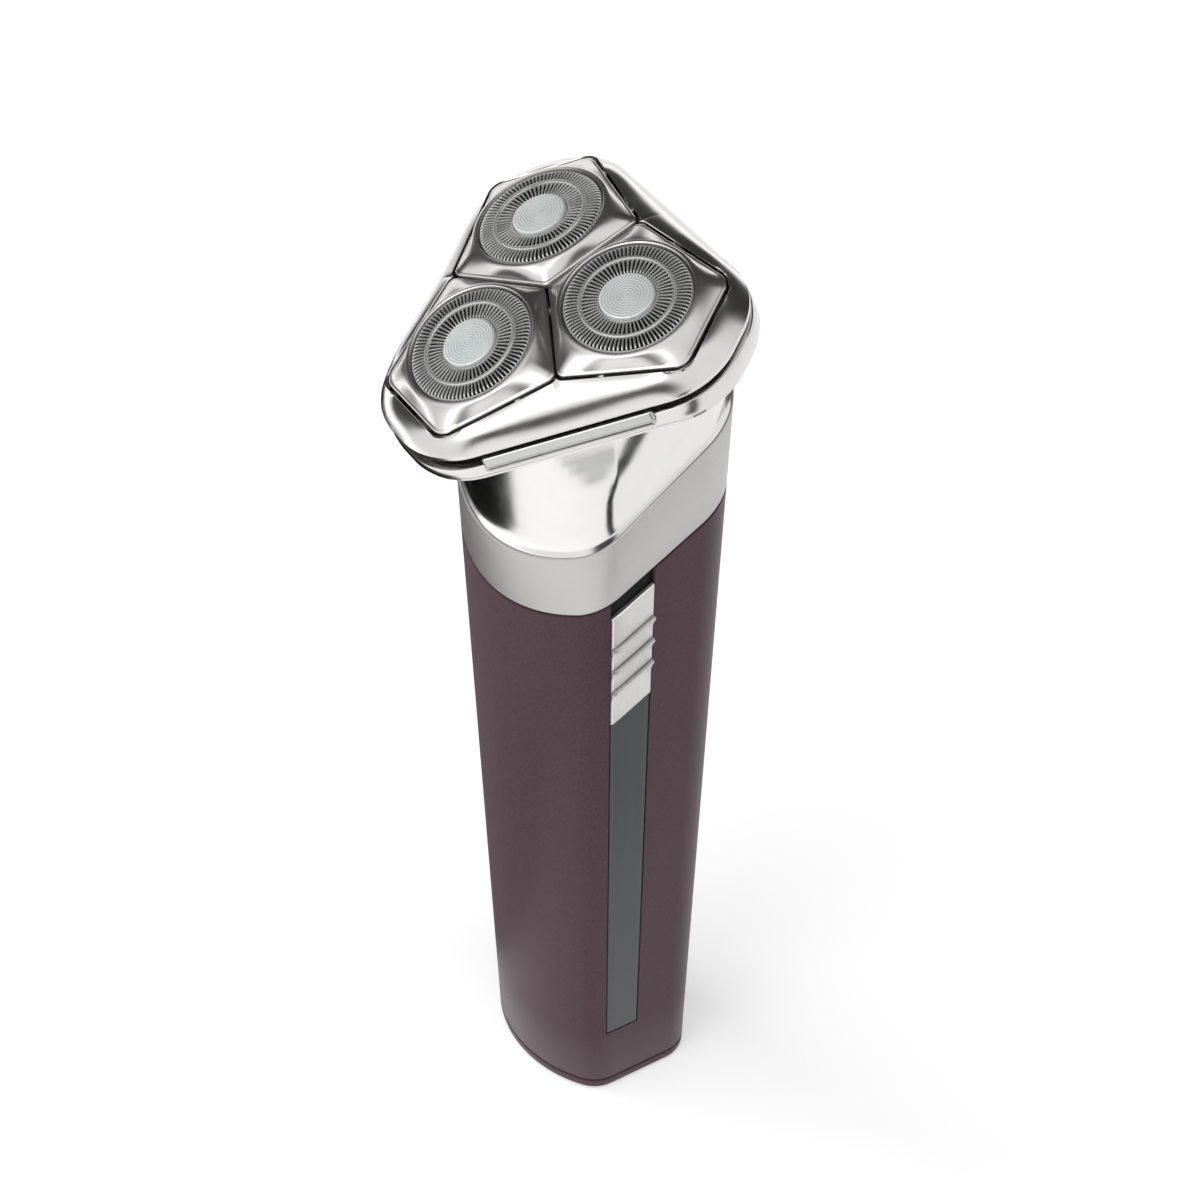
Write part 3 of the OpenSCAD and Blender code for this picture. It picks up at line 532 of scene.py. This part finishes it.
def body_shell():
    """Tapered tube with the inlay's groove, and a thinner collar above for the band and the neck."""
    foot, middle, top, collar = BASE_H + SEAM_GAP, 60, BAND_LOW - SEAM_GAP, BAND_HIGH + COLLAR_H
    rings = [
        handle_ring(foot, inset=0.3),
        handle_ring(foot + 0.06, inset=0.1),
        handle_ring(foot + 0.23),
        handle_ring(STRIP_LOW),
        handle_ring(STRIP_LOW, groove=GROOVE),
        handle_ring(middle, groove=GROOVE),
        handle_ring(top - 0.18, SLANT, groove=GROOVE),
        handle_ring(top, SLANT, 0.15, GROOVE - 0.15),
        handle_ring(top, SLANT, REBATE),
        handle_ring(collar, HIGH_SLANT, REBATE),
        handle_ring(collar, HIGH_SLANT, WALL),
        handle_ring(foot, inset=WALL),
    ]
    obj = cut(make("body_shell_skin", skin(rings, closed=True), MAT["soft_touch_shell"]), slot_box)
    piece(obj, "handle", "soft_touch_shell", "body_shell")


def base_cap():
    """Foot with a rolled edge, a charging recess and two screw recesses."""
    lip_out, lip_in, lip_top = WALL + 0.15, WALL + 1.5, BASE_H + 3
    rolled = [(0, 1.3), (0.04, 1.05), (0.16, 0.72), (0.36, 0.42), (0.62, 0.2), (0.9, 0.07), (1.2, 0)]
    upper = [(BASE_H - 0.15, 0), (BASE_H, 0.15)]
    upper += [(BASE_H, lip_out), (lip_top, lip_out), (lip_top, lip_in), (BASE_H, lip_in)]
    rings = [handle_ring(z, inset=inset) for z, inset in rolled + upper]
    below, above = -1.0, 8.0
    port_x, port_r, port_y, port_steps = 6.65, 1.9, 2.9, 48
    a = np.linspace(0, 2 * math.pi, port_steps, endpoint=False)
    mouth = np.c_[port_x + port_r * np.cos(a), port_r * np.sin(a) + np.sign(np.sin(a)) * port_y]
    tools = [skin([np.c_[mouth, np.full(port_steps, z)] for z in (below, above)])]
    screw_y, head_r, head_h, hole_r = 9.2, 2.1, 1.2, 1.1
    recess = [(0, below), (head_r, below), (head_r, head_h), (hole_r, head_h), (hole_r, above), (0, above)]
    hole = lathe(recess, 40)
    for side in (-1, 1):
        tools.append(placed(hole, lambda v, s=side: v + [0, s * screw_y, 0]))
    obj = cut(make("base_cap_foot", skin(rings), MAT["soft_touch_shell"]), *tools)
    piece(obj, "handle", "soft_touch_shell", "base_cap")


def side_strip():
    """Inlay that lies almost flush in the groove, up to the slider."""
    low, high, gap = STRIP_LOW + 0.2, SLIDER_LOW - 0.35, 0.2
    stations = [(low, 0, -0.14), (low + 0.08, 0, -0.04), (low + 0.2, 0, -0.02),
                (high - 0.25, SLANT, -0.02), (high, SLANT, -0.12)]
    part = side_pad(STRIP_FRONT + gap, STRIP_REAR - gap, -GROOVE, stations, edge=0.1)
    piece(make("side_strip_inlay", part, MAT["strip_satin"]), "handle", "strip_satin", "side_strip")


def switch_track():
    """Sunk black plate on which the slider runs."""
    depth, gap = 0.5, 0.15
    stations = [(SLIDER_LOW - 0.25, SLANT, -depth), (BAND_LOW - 0.3, SLANT, -depth)]
    part = side_pad(STRIP_FRONT + gap, STRIP_REAR - gap, -GROOVE, stations, edge=0.05)
    obj = cut(make("switch_track_plate", part, MAT["black_plastic"]), slot_box)
    piece(obj, "handle", "black_plastic", "switch_track")


def slider_height(s):
    """Height of the slider's surface at s above its lower edge: a flat pad with three beaded ridges."""
    along, out = np.array(RIDGE).T
    nearest = min((s - share * SLIDER_LEN for share in RIDGES), key=lambda d: abs(d - RIDGE_MIDDLE))
    return float(np.interp(nearest, along, out))


def power_slider():
    """Pad with rounded rims, whose ends lean like the band's edge, and a stem that reaches the switch."""
    roll, roll_depth, gap, sunk = 0.3, 0.22, 0.12, 0.35
    ends = (0.0, 0.12, roll, 1.0)
    stops = {s for end in ends for s in (end, SLIDER_LEN - end)}
    stops |= {share * SLIDER_LEN + d for share in RIDGES for d, _ in RIDGE}
    stations = []
    for s in sorted(stops):
        from_end = min(s, SLIDER_LEN - s)
        fall = roll_depth * max(0.0, 1 - from_end / roll) ** 2
        stations.append((SLIDER_LOW + s, SLANT, slider_height(s) - fall))
    pad = side_pad(STRIP_FRONT + gap, STRIP_REAR - gap, -sunk, stations)
    stem_in, stem_out, half_w, half_h = 12.95, 19.0, 1, 0.8
    stem = box(stem_in, stem_out, stem_y - half_w, stem_y + half_w, stem_z - half_h, stem_z + half_h)
    obj = make("power_slider_pad", joined(pad, stem), MAT["slider_satin"], sharp=25)
    piece(obj, "slider", "slider_satin", "power_slider")


def trim_band():
    """Closed ring with softened edges, between a slant like the slider's and a steeper one."""
    lower = ((0.12, 1.15), (0.12, 0.3), (0.2, 0.08), (0.4, 0))
    upper = ((0.35, 0), (0.12, 0.07), (0.03, 0.25), (0.03, 1.15))
    rings = [handle_ring(BAND_LOW + up, SLANT, inset) for up, inset in lower]
    rings += [handle_ring(BAND_HIGH - down, HIGH_SLANT, inset) for down, inset in upper]
    obj = make("trim_band_ring", skin(rings, closed=True), MAT["satin_band"])
    piece(obj, "handle", "satin_band", "trim_band")


def neck_ring(share, inset):
    """Outline part of the way from the band's upper edge to the head's underside, kept inside the head."""
    flat, centre = section(inset), np.array([0.0, -1.5])
    overhang, splay_h, splay = 3, -15, 0.625  # the neck keeps inside the head, and widens below splay_h
    passes, damping, halvings, gap = 40, 0.6, 22, 0.08
    z = np.full(len(flat), 140.0)
    for _ in range(passes):
        xy = flat * (1 + TAPER * z)[:, None]
        low, high = np.zeros(len(flat)), np.ones(len(flat))
        for _ in range(halvings):
            mid = (low + high) / 2
            local = to_head(np.c_[centre + (xy - centre) * mid[:, None], z])
            room = overhang + inset + np.minimum(0.0, (local[:, 2] - splay_h) * splay)
            out = head_distance(local[:, 0], local[:, 1]) + room > 0
            high, low = np.where(out, mid, high), np.where(out, low, mid)
        xy = centre + (xy - centre) * low[:, None]
        bottom = BAND_HIGH + gap + HIGH_SLANT * xy[:, 1]
        top = HEAD_ORIGIN[2] + (NECK_TOP + (xy[:, 1] - HEAD_ORIGIN[1]) * -AXIS[1]) / AXIS[2]
        z = z + damping * (bottom + share * (top - bottom) - z)
    return np.c_[xy, z]


def neck_cover():
    """Bright ring whose foot draws in like a cove from the band's edge; each point is (share, inset)."""
    outer = [(0, 0.3), (0.004, 0.24), (0.014, 0.32), (0.03, 0.52), (0.055, 0.68), (0.1, 0.75), (0.18, 0.75)]
    outer += [(share, 0.75) for share in (0.3, 0.42, 0.54, 0.66, 0.76, 0.84, 0.9, 0.95, 1.0)]
    inner = [(share, NECK_WALL) for share in (1.0, 0.8, 0.5, 0.25)] + [(0.25, 1.35), (0, 1.35)]
    rings = [neck_ring(share, inset) for share, inset in outer + inner]
    obj = make("neck_collar", skin(rings, closed=True), MAT["polished_chrome"], sharp=50)
    piece(obj, "handle", "polished_chrome", "neck_cover")


# ------------------------------------------------------------------ head pieces
def head_tray():
    """Shallow pan with bosses for the spindles and two hinge knuckles at the rear."""
    rim, inner = head_radius(0), head_radius(1.5)
    top = seam(rim)
    foot = ((6, 0), (0.7, 0), (0.35, 0.08), (0.1, 0.3), (0, 0.6))
    rings = [polar(head_radius(inset), TRAY_LOW + up) for inset, up in foot]
    rings += [polar(rim - inset, top - down) for inset, down in ((0, 0.3), (0.1, 0.08), (0.3, 0), (1.3, 0))]
    rings += [polar(inner, top - 0.2), polar(inner, TRAY_FLOOR), polar(inner * 0.3, TRAY_FLOOR)]
    low, high, bevel = TRAY_FLOOR - 0.1, TRAY_FLOOR + 0.8, 0.15
    boss = lathe([(BOSS_BORE, low), (BOSS_R, low), (BOSS_R, high - bevel), (BOSS_R - bevel, high),
                  (BOSS_BORE + bevel, high), (BOSS_BORE, high - bevel)], 60)
    parts = []
    for u in UNITS.values():
        parts.append(placed(boss, lambda v, u=u: to_world(turned(v + [GEAR_RING, 0, 0], u))))
    knuckle_half, notch_half = 1.7, 5.1
    for x in (-KNUCKLE_X, KNUCKLE_X):
        parts.append(placed(rod(HINGE_R, x - knuckle_half, x + knuckle_half, HINGE_Y, HINGE_H), to_world))
    notch = box(-notch_half, notch_half, HINGE_Y - 2.5, HINGE_Y + 3.5, HINGE_H - 1.3, HINGE_H + 1.7)
    below, above = TRAY_LOW - 1, TRAY_FLOOR + 2
    spindle_hole, screw_hole = (2.12, GEAR_RING, 0), (0.9, 17.5, 60)  # radius, distance from the axis, turn
    tools = [placed(notch, to_world)]
    for u in UNITS.values():
        for radius, away, turn in (spindle_hole, screw_hole):
            hole = lathe([(0, below), (radius, below), (radius, above), (0, above)], 48)
            tools.append(placed(hole, lambda v, a=away, t=u + turn: to_world(turned(v + [a, 0, 0], t))))
    pan = cut(make("head_tray_pan", placed(skin(rings, fan=True), to_world), MAT["brushed_metal"]), *tools)
    bosses = make("head_tray_bosses", joined(*parts), MAT["brushed_metal"])
    piece(pan, "handle", "brushed_metal", "head_tray")
    piece(bosses, "handle", "brushed_metal", "head_tray")


def tray_seal():
    """Black wall inside the tray whose rounded top shows in the seam; each point is (inset, height)."""
    low, outside, inside = TRAY_FLOOR + 0.5, 1.75, 2.7
    profile = [(outside, low), (outside, -8.6), (1.82, -7.7), (2.0, -7.45), (2.5, -7.5)]
    profile += [(inside, -8), (inside, low)]
    rings = [polar(head_radius(inset), height) for inset, height in profile]
    obj = make("tray_seal_lip", placed(skin(rings, closed=True), to_world), MAT["black_rubber"])
    piece(obj, "handle", "black_rubber", "tray_seal")


def thumb_ledges():
    """Two slim bars with a sloped upper face and a rounded lower lip; each point is (outwards, height)."""
    root = -0.35
    lip = [(0.6, 0), (0.95, 0.08), (1.1, 0.3), (1.1, 0.62), (0.95, 0.8), (0.72, 0.86), (0.7, 1.0)]
    profile = [(root, LEDGE_LOW + 0.1)] + [(out, LEDGE_LOW + up) for out, up in lip]
    profile += [(0.5, LEDGE_HIGH - 0.35), (0.4, LEDGE_HIGH - 0.1), (0.25, LEDGE_HIGH), (root, LEDGE_HIGH)]
    middle, half_h = LEDGE_LOW + 1, 1.3
    stations = ((0, 0.35), (0.25, 0.1), (0.7, 0))
    stations += tuple((LEDGE_LEN - along, shrink) for along, shrink in reversed(stations))
    parts = []
    for side in (-1, 1):
        start = -LEDGE_LEN / 2 - side
        rings = []
        for along, shrink in stations:
            squeeze = 1 - shrink * 0.8 / half_h
            ring = [(HEAD_SIDE + max(out - shrink, root), start + along, middle + (h - middle) * squeeze)
                    for out, h in profile]
            rings.append(ring)
        parts.append(placed(skin(rings), lambda v, s=side: to_world(turned(v, s * 60 - 90))))
    obj = make("thumb_ledge_bars", joined(*parts), MAT["ledge_satin"])
    piece(obj, "handle", "satin_band", "thumb_ledges")


def eased(values, span=61):
    """Values round a closed outline, each the average of a span of directions about its own."""
    half = span // 2
    return np.convolve(np.r_[values[-half:], values, values[:half]], np.ones(span) / span, "valid")


def crown_rings(outer, rim, crown):
    """Curve from the skirt's knee to the plates' edges, whose corners are softened away from them."""
    bulge, shoulder_share, steps = 0.62, 0.26, 12
    lip = rim + CROWN_GAP
    shoulder = eased(lip + bulge * (outer - lip))
    shoulder_h = eased(crown - shoulder_share * (crown - FRAME_KNEE))
    rings = []
    for t in np.linspace(0, 1, steps)[1:]:
        soft = 1 - max(0.0, 2 * t - 1) ** 2
        edge = lip + soft * (eased(rim) - rim)
        edge_h = crown + soft * (eased(crown) - crown)
        start, middle, end = (1 - t) ** 2, 2 * t * (1 - t), t * t
        rings.append(polar(start * outer + middle * shoulder + end * edge,
                           start * FRAME_KNEE + middle * shoulder_h + end * edge_h))
    return rings


def head_frame():
    """Opening frame: a crown with an upright skirt, three arms, plate bearings, a hub and a hinge bar."""
    outer = head_radius(0)
    rim, height = plates_rim(0.02)
    crown = height - CROWN_DROP
    inner = np.maximum(head_radius(1.6), rim)
    rings = [polar(outer - inset, FRAME_LOW + up) for inset, up in ((0.3, 0), (0.08, 0.1), (0, 0.3))]
    rings += [polar(outer, FRAME_KNEE)] + crown_rings(outer, rim, crown)
    rings += [polar(rim + 0.05, crown - 0.08), polar(rim, crown - 0.3), polar(rim, -5.6)]
    rings += [polar(inner, -5.7), polar(inner, FRAME_LOW)]
    parts = [skin(rings, closed=True)]
    arm_start, arm_end, arm_low, arm_high, half_w = 2.0, 19.4, -5.4, -4.2, 0.9
    arm = box(arm_start, arm_end, -half_w, half_w, arm_low, arm_high)
    bearing_x, bearing_low, bearing_high = 14.4, -5.8, -4.9
    bearings = [box(x - half_w, x + half_w, -DISC_RING - 1, -DISC_RING + 2, bearing_low, bearing_high)
                for x in (-bearing_x, bearing_x)]
    for u in UNITS.values():
        parts.append(placed(arm, lambda v, u=u: turned(v, u + 60)))
        parts += [placed(bearing, lambda v, u=u: turned(v, u + 90)) for bearing in bearings]
    bore, hub_r, low, high = 1.25, 2.7, -5.5, -4.1
    parts.append(lathe([(bore, low), (hub_r, low), (hub_r, high), (bore, high)], 48))
    hinge_half = 4.9
    parts.append(box(-hinge_half, hinge_half, HINGE_Y - 0.9, HINGE_Y + 0.6, HINGE_H, HINGE_H + 1.6))
    parts.append(rod(HINGE_R, -hinge_half, hinge_half, HINGE_Y, HINGE_H))
    obj = make("head_frame_crown", placed(joined(*parts), to_world), MAT["brushed_metal"], sharp=28)
    piece(obj, "lid", "brushed_metal", "head_frame")


def plate(name, u):
    """Five-sided pillow with soft ridges from the disc to its corners, a bore and two pivot pins."""
    phi = np.radians(np.arange(0, 360, 0.75))
    reach = cast(plate_outline(-PLATE_GAP / 2), phi)
    inner, inner_top, step_r, step_h = reach - 1.0, -2.5, BORE_R + 0.9, -1.4
    rings = [polar(inner, PLATE_SKIRT, phi), polar(reach, PLATE_SKIRT, phi)]
    for inset, down in ((0, 0.38), (0.06, 0.2), (0.2, 0.08), (0.42, 0.02)):
        rings.append(polar(reach - inset, PLATE_EDGE - down, phi))
    start, pillow_top, fullness = BORE_R + 0.75, -0.42, 1.25
    span = np.maximum(reach - 0.5 - start, 0.25)
    for t in (0, 0.08, 0.2, 0.35, 0.5, 0.65, 0.8, 0.92, 1.0):
        h = PLATE_EDGE + (pillow_top - PLATE_EDGE) * (1 - (1 - t) ** fullness)
        rings.append(polar(start + span * (1 - t), h, phi))
    for away, h in ((0.5, -0.28), (0.25, -0.24), (0.06, -0.33), (0, -0.5), (0, -2.4), (0.6, -2.4)):
        rings.append(polar(BORE_R + away, h, phi))
    rings += [polar(np.minimum(step_r, inner - 0.1), step_h, phi), polar(inner, inner_top, phi)]
    parts = [skin(rings, closed=True)]
    pin_start, lug_x, lug_half, lug_y, lug_top = 11.9, 12, 0.45, 1.1, -2.75
    for side in (-1, 1):
        ends = sorted((side * pin_start, side * PIVOT_X))
        parts.append(rod(PIVOT_R, ends[0], ends[1], 0, PIVOT_DEPTH))
        x = side * lug_x
        parts.append(box(x - lug_half, x + lug_half, -lug_y, lug_y, PIVOT_DEPTH - 0.8, lug_top))
    part = placed(joined(*parts), lambda v: unit_to_world(v, u))
    obj = make(f"plate_{name}_pillow", part, MAT["plate_metal"], sharp=28)
    piece(obj, f"unit_{name}", "plate_metal", f"plate_{name}")


def bars(count, stations, width):
    """Radial bars with chamfered tops. A station is (radius, height, share of the width, thickness)."""
    chamfer, flat = 0.14, 0.4  # how far the chamfer falls, and the share of the bar's width that stays flat
    verts, faces = [], []
    n, m = len(stations), 6
    for k in range(count):
        cos, sin = math.cos(2 * math.pi * k / count), math.sin(2 * math.pi * k / count)
        base = len(verts)
        for r, h, share, thick in stations:
            w = width * share / 2
            edges = ((-w, thick), (-w, chamfer), (-flat * w, 0), (flat * w, 0), (w, chamfer), (w, thick))
            for side, drop in edges:
                verts.append((r * cos - side * sin, r * sin + side * cos, h - drop))
        for i in range(n - 1):
            row = base + m * i
            faces += [(row + j, row + (j + 1) % m, row + m + (j + 1) % m, row + m + j) for j in range(m)]
        faces.append(tuple(base + j for j in range(m)))
        faces.append(tuple(base + m * (n - 1) + j for j in reversed(range(m))))
    return np.array(verts), faces


def guard(name, u):
    """Two rings of fine bars between a bevelled rim, a raised middle ring and a hub seat."""
    r, thick, low = DISC_R, 0.3, -2.9
    outer_bars, outer_width, inner_bars, inner_width = 90, 0.3, 60, 0.34
    outer = bars(outer_bars, [
        (r - 0.06, -0.52, 1, thick), (r - 0.2, -0.3, 1, thick), (r - 0.42, -0.12, 1, thick),
        (r - 0.75, -0.03, 0.95, thick), (r * 0.86, 0, 0.85, thick), (r * 0.755, 0, 0.75, thick),
    ], outer_width)
    inner = bars(inner_bars, [
        (r * 0.705, 0, 1, thick), (r * 0.62, 0, 0.9, thick), (r * 0.52, 0, 0.8, thick),
        (r * 0.485, -0.03, 0.8, thick), (r * 0.462, -0.14, 0.8, thick), (r * 0.45, -0.32, 0.8, 0.2),
    ], inner_width)
    rim = lathe([(r - 0.3, low), (r, low), (r + 0.02, -0.62), (r - 0.05, -0.5), (r - 0.25, -0.46),
                 (r - 0.3, -0.7)], 120)
    flange = lathe([(r - 0.1, low), (r + 0.7, low), (r + 0.7, low + 0.28), (r - 0.1, low + 0.28)], 120)
    ridge = lathe([(r * 0.695, -0.35), (r * 0.765, -0.35), (r * 0.762, -0.02), (r * 0.752, 0.12),
                   (r * 0.738, 0.17), (r * 0.722, 0.17), (r * 0.708, 0.12), (r * 0.698, -0.02)], 120)
    seat_in, seat_out = CAP_R - 0.1, r * 0.463
    seat = lathe([(seat_in, -0.6), (seat_out, -0.6), (seat_out, -0.4), (r * 0.445, -0.36),
                  (seat_in, -0.36)], 96)
    part = placed(joined(outer, inner, rim, flange, ridge, seat), lambda v: unit_to_world(v, u))
    obj = make(f"guard_{name}_foil", part, MAT["guard_steel"], sharp=35, merge=1e-7)
    piece(obj, f"unit_{name}", "guard_steel", f"guard_{name}")


def cap(name, u):
    """Slightly crowned disc with a rolled edge and a boss below, and a flat UV map for its lathe marks."""
    r, edge_top, top = CAP_R - 0.02, 0.29, 0.32
    boss_low, boss_r, under = -1.1, 1, -0.4
    edge = [(r - 0.1, under), (r, -0.3), (r, 0.08), (r - 0.05, 0.19), (r - 0.16, 0.26), (r - 0.4, edge_top)]
    crown = [(r * share, edge_top + (top - edge_top) * (1 - share)) for share in (0.7, 0.4, 0.15)]
    disc = lathe([(0, boss_low), (boss_r, boss_low), (boss_r, under)] + edge + crown + [(0, top)])
    obj = make(f"cap_{name}_disc", placed(disc, lambda v: unit_to_world(v, u)), MAT["cap_satin"], sharp=30)
    flat = obj.data.uv_layers.new(name=CAP_UV)
    centre = unit_to_world(np.zeros((1, 3)), u)[0]
    side, along = unit_to_world(np.array([[1.0, 0, 0], [0, 1.0, 0]]), u) - centre
    for loop in obj.data.loops:
        v = np.array(obj.data.vertices[loop.vertex_index].co) / MM - centre
        flat.data[loop.index].uv = (v @ side, v @ along)
    piece(obj, f"unit_{name}", "cap_satin", f"cap_{name}")


for build in (body_shell, base_cap, side_strip, switch_track, power_slider, trim_band, neck_cover,
              head_tray, tray_seal, thumb_ledges, head_frame):
    build()
for unit_name, unit_turn in UNITS.items():
    plate(unit_name, unit_turn)
    guard(unit_name, unit_turn)
    cap(unit_name, unit_turn)

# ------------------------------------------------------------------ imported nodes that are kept: the inside
for node_name, obj in frame["nodes"].items():
    if not obj.hide_render:
        # The cutters take the near-black material of painted shade in place of their slot's finish
        material = MAT["cutter_painted_shade"] if node_name in CUTTERS else MAT[SLOT_OF[node_name]]
        obj.data.materials.clear()
        obj.data.materials.append(material)


# ------------------------------------------------------------------ stage, light and camera
TARGET = Vector((0, 1.96, 95.5)) * MM
AZIMUTH, ELEVATION, DISTANCE = math.radians(58.02), math.radians(40.85), 0.5588
LENS, SENSOR_W = 105.9, 36
KEY_AZIMUTH, KEY_GLOW = math.radians(57), 0.95
SWEEP_AZIMUTH, SWEEP_RISE, SWEEP_GLOW = math.radians(-128), math.radians(-15), 1.4
GAP_AZIMUTH, GAP_RISE = math.radians(42), math.radians(17)
DARK, BLACK = 0.035, 0.02
FLOOR_SIZE, FLOOR_GLOW = 30, 0.4
CARD_H = 0.002
OBJECT_MIDDLE = (0, 0, 0.1)


def direction(azimuth, rise):
    """Unit vector from an azimuth, counted from -Y towards +X, and a rise above the horizon."""
    return math.sin(azimuth) * math.cos(rise), -math.cos(azimuth) * math.cos(rise), math.sin(rise)


def aim(obj, point):
    """Turns a camera or a light towards a point."""
    obj.rotation_euler = (Vector(point) - obj.location).to_track_quat("-Z", "Y").to_euler()


def camera():
    """Long lens from the front right, above the head."""
    data = bpy.data.cameras.new("camera")
    cam = bpy.data.objects.new("camera", data)
    bpy.context.scene.collection.objects.link(cam)
    data.lens, data.sensor_width = LENS, SENSOR_W
    data.clip_start, data.clip_end = 0.01, 50
    cam.location = TARGET + DISTANCE * Vector(direction(AZIMUTH, ELEVATION))
    aim(cam, TARGET)
    bpy.context.scene.camera = cam


def floor_card(name, start, end, near_width, far_width):
    """A dark patch just above the floor, seen by reflections only, from one point to another."""
    start, end = Vector((*start, CARD_H)), Vector((*end, CARD_H))
    across = (end - start).cross(Vector((0, 0, 1))).normalized() / 2
    near, far = across * near_width, across * far_width
    mesh = bpy.data.meshes.new(name)
    corners = (start - near, start + near, end + far, end - far)
    mesh.from_pydata([tuple(c) for c in corners], [], [(0, 1, 2, 3)])
    mesh.materials.append(shader(name, (0, 0, 0), 0, 1, Specular_IOR_Level=0.0))
    obj = bpy.data.objects.new(name, mesh)
    bpy.context.scene.collection.objects.link(obj)
    obj.visible_camera = False
    obj.visible_shadow = False
    obj.visible_diffuse = False
    obj.visible_transmission = False


def softbox(name, centre, side, power):
    """A square area light aimed at the object's middle."""
    data = bpy.data.lights.new(name, "AREA")
    data.shape, data.size, data.energy = "SQUARE", side, power
    obj = bpy.data.objects.new(name, data)
    bpy.context.scene.collection.objects.link(obj)
    obj.location = Vector(centre)
    aim(obj, OBJECT_MIDDLE)
    return obj


def floor():
    """White ground that glows a little, so that it meets the backdrop without an edge."""
    bpy.ops.mesh.primitive_plane_add(size=FLOOR_SIZE)
    obj = bpy.context.active_object
    obj.name = "floor"
    mat = vary(shader("floor", (0.9, 0.9, 0.9), 0, 0.9, Specular_IOR_Level=0.0), grain=3, tint=0.01, wear=0)
    bsdf = mat.node_tree.nodes["Principled BSDF"]
    bsdf.inputs["Emission Color"].default_value = (1, 1, 1, 1)
    bsdf.inputs["Emission Strength"].default_value = FLOOR_GLOW
    obj.data.materials.append(mat)


def lobe(nodes, links, middle, edge, full, low, high):
    """Goes from low to high as a ray's direction nears the middle one. Edge and full are cosines."""
    place, towards = nodes.new("ShaderNodeTexCoord"), nodes.new("ShaderNodeVectorMath")
    spread = nodes.new("ShaderNodeMapRange")
    towards.operation = "DOT_PRODUCT"
    towards.inputs[1].default_value = middle
    spread.interpolation_type = "SMOOTHSTEP"
    for socket, value in (("From Min", edge), ("From Max", full), ("To Min", low), ("To Max", high)):
        spread.inputs[socket].default_value = value
    links.new(place.outputs["Generated"], towards.inputs[0])
    links.new(towards.outputs["Value"], spread.inputs["Value"])
    return spread.outputs["Result"]


def combine(nodes, links, operation, first, second):
    """The result of one Math node on two outputs."""
    node = nodes.new("ShaderNodeMath")
    node.operation = operation
    links.new(first, node.inputs[0])
    links.new(second, node.inputs[1])
    return node.outputs[0]


def world():
    """A studio bright on the camera's side but for one gap, with a low sweep behind and a white backdrop."""
    scene = bpy.context.scene
    scene.view_settings.view_transform = "Standard"
    scene.world = bpy.data.worlds.new("studio")
    scene.world.use_nodes = True
    nodes, links = scene.world.node_tree.nodes, scene.world.node_tree.links
    nodes.clear()
    key = lobe(nodes, links, direction(KEY_AZIMUTH, 0), edge=-0.2, full=0.05, low=DARK, high=KEY_GLOW)
    gap = lobe(nodes, links, direction(GAP_AZIMUTH, GAP_RISE), edge=0.915, full=0.978, low=1.0, high=BLACK)
    sweep_middle = direction(SWEEP_AZIMUTH, SWEEP_RISE)
    sweep = lobe(nodes, links, sweep_middle, edge=0.6, full=0.8, low=DARK, high=SWEEP_GLOW)
    near_ground = lobe(nodes, links, (0, 0, -1), edge=-0.38, full=-0.2, low=BLACK, high=1.0)
    front = combine(nodes, links, "MULTIPLY", key, gap)
    back = combine(nodes, links, "MULTIPLY", sweep, near_ground)
    out, mix = nodes.new("ShaderNodeOutputWorld"), nodes.new("ShaderNodeMixShader")
    path = nodes.new("ShaderNodeLightPath")
    seen, felt = nodes.new("ShaderNodeBackground"), nodes.new("ShaderNodeBackground")
    for ground in (seen, felt):
        ground.inputs["Color"].default_value = (1, 1, 1, 1)
    links.new(combine(nodes, links, "MAXIMUM", front, back), felt.inputs["Strength"])
    links.new(path.outputs["Is Camera Ray"], mix.inputs["Fac"])
    links.new(felt.outputs[0], mix.inputs[1])
    links.new(seen.outputs[0], mix.inputs[2])
    links.new(mix.outputs[0], out.inputs["Surface"])


camera()
world()
floor()
softbox("light_front", centre=(0.3, -0.9, 0.9), side=0.9, power=3)
fill = softbox("light_left", centre=(-0.8, -0.5, 0.35), side=0.6, power=6)
fill.visible_glossy = False
floor_card("dark_left", start=(-0.02, -0.02), end=(-0.45, -0.16), near_width=0.12, far_width=0.42)
floor_card("dark_right", start=(0.1, 0.02), end=(0.22, 0.0), near_width=0.035, far_width=0.05)
floor_card("dark_far", start=(0.215, 0.0), end=(1.0, -0.25), near_width=0.05, far_width=0.25)
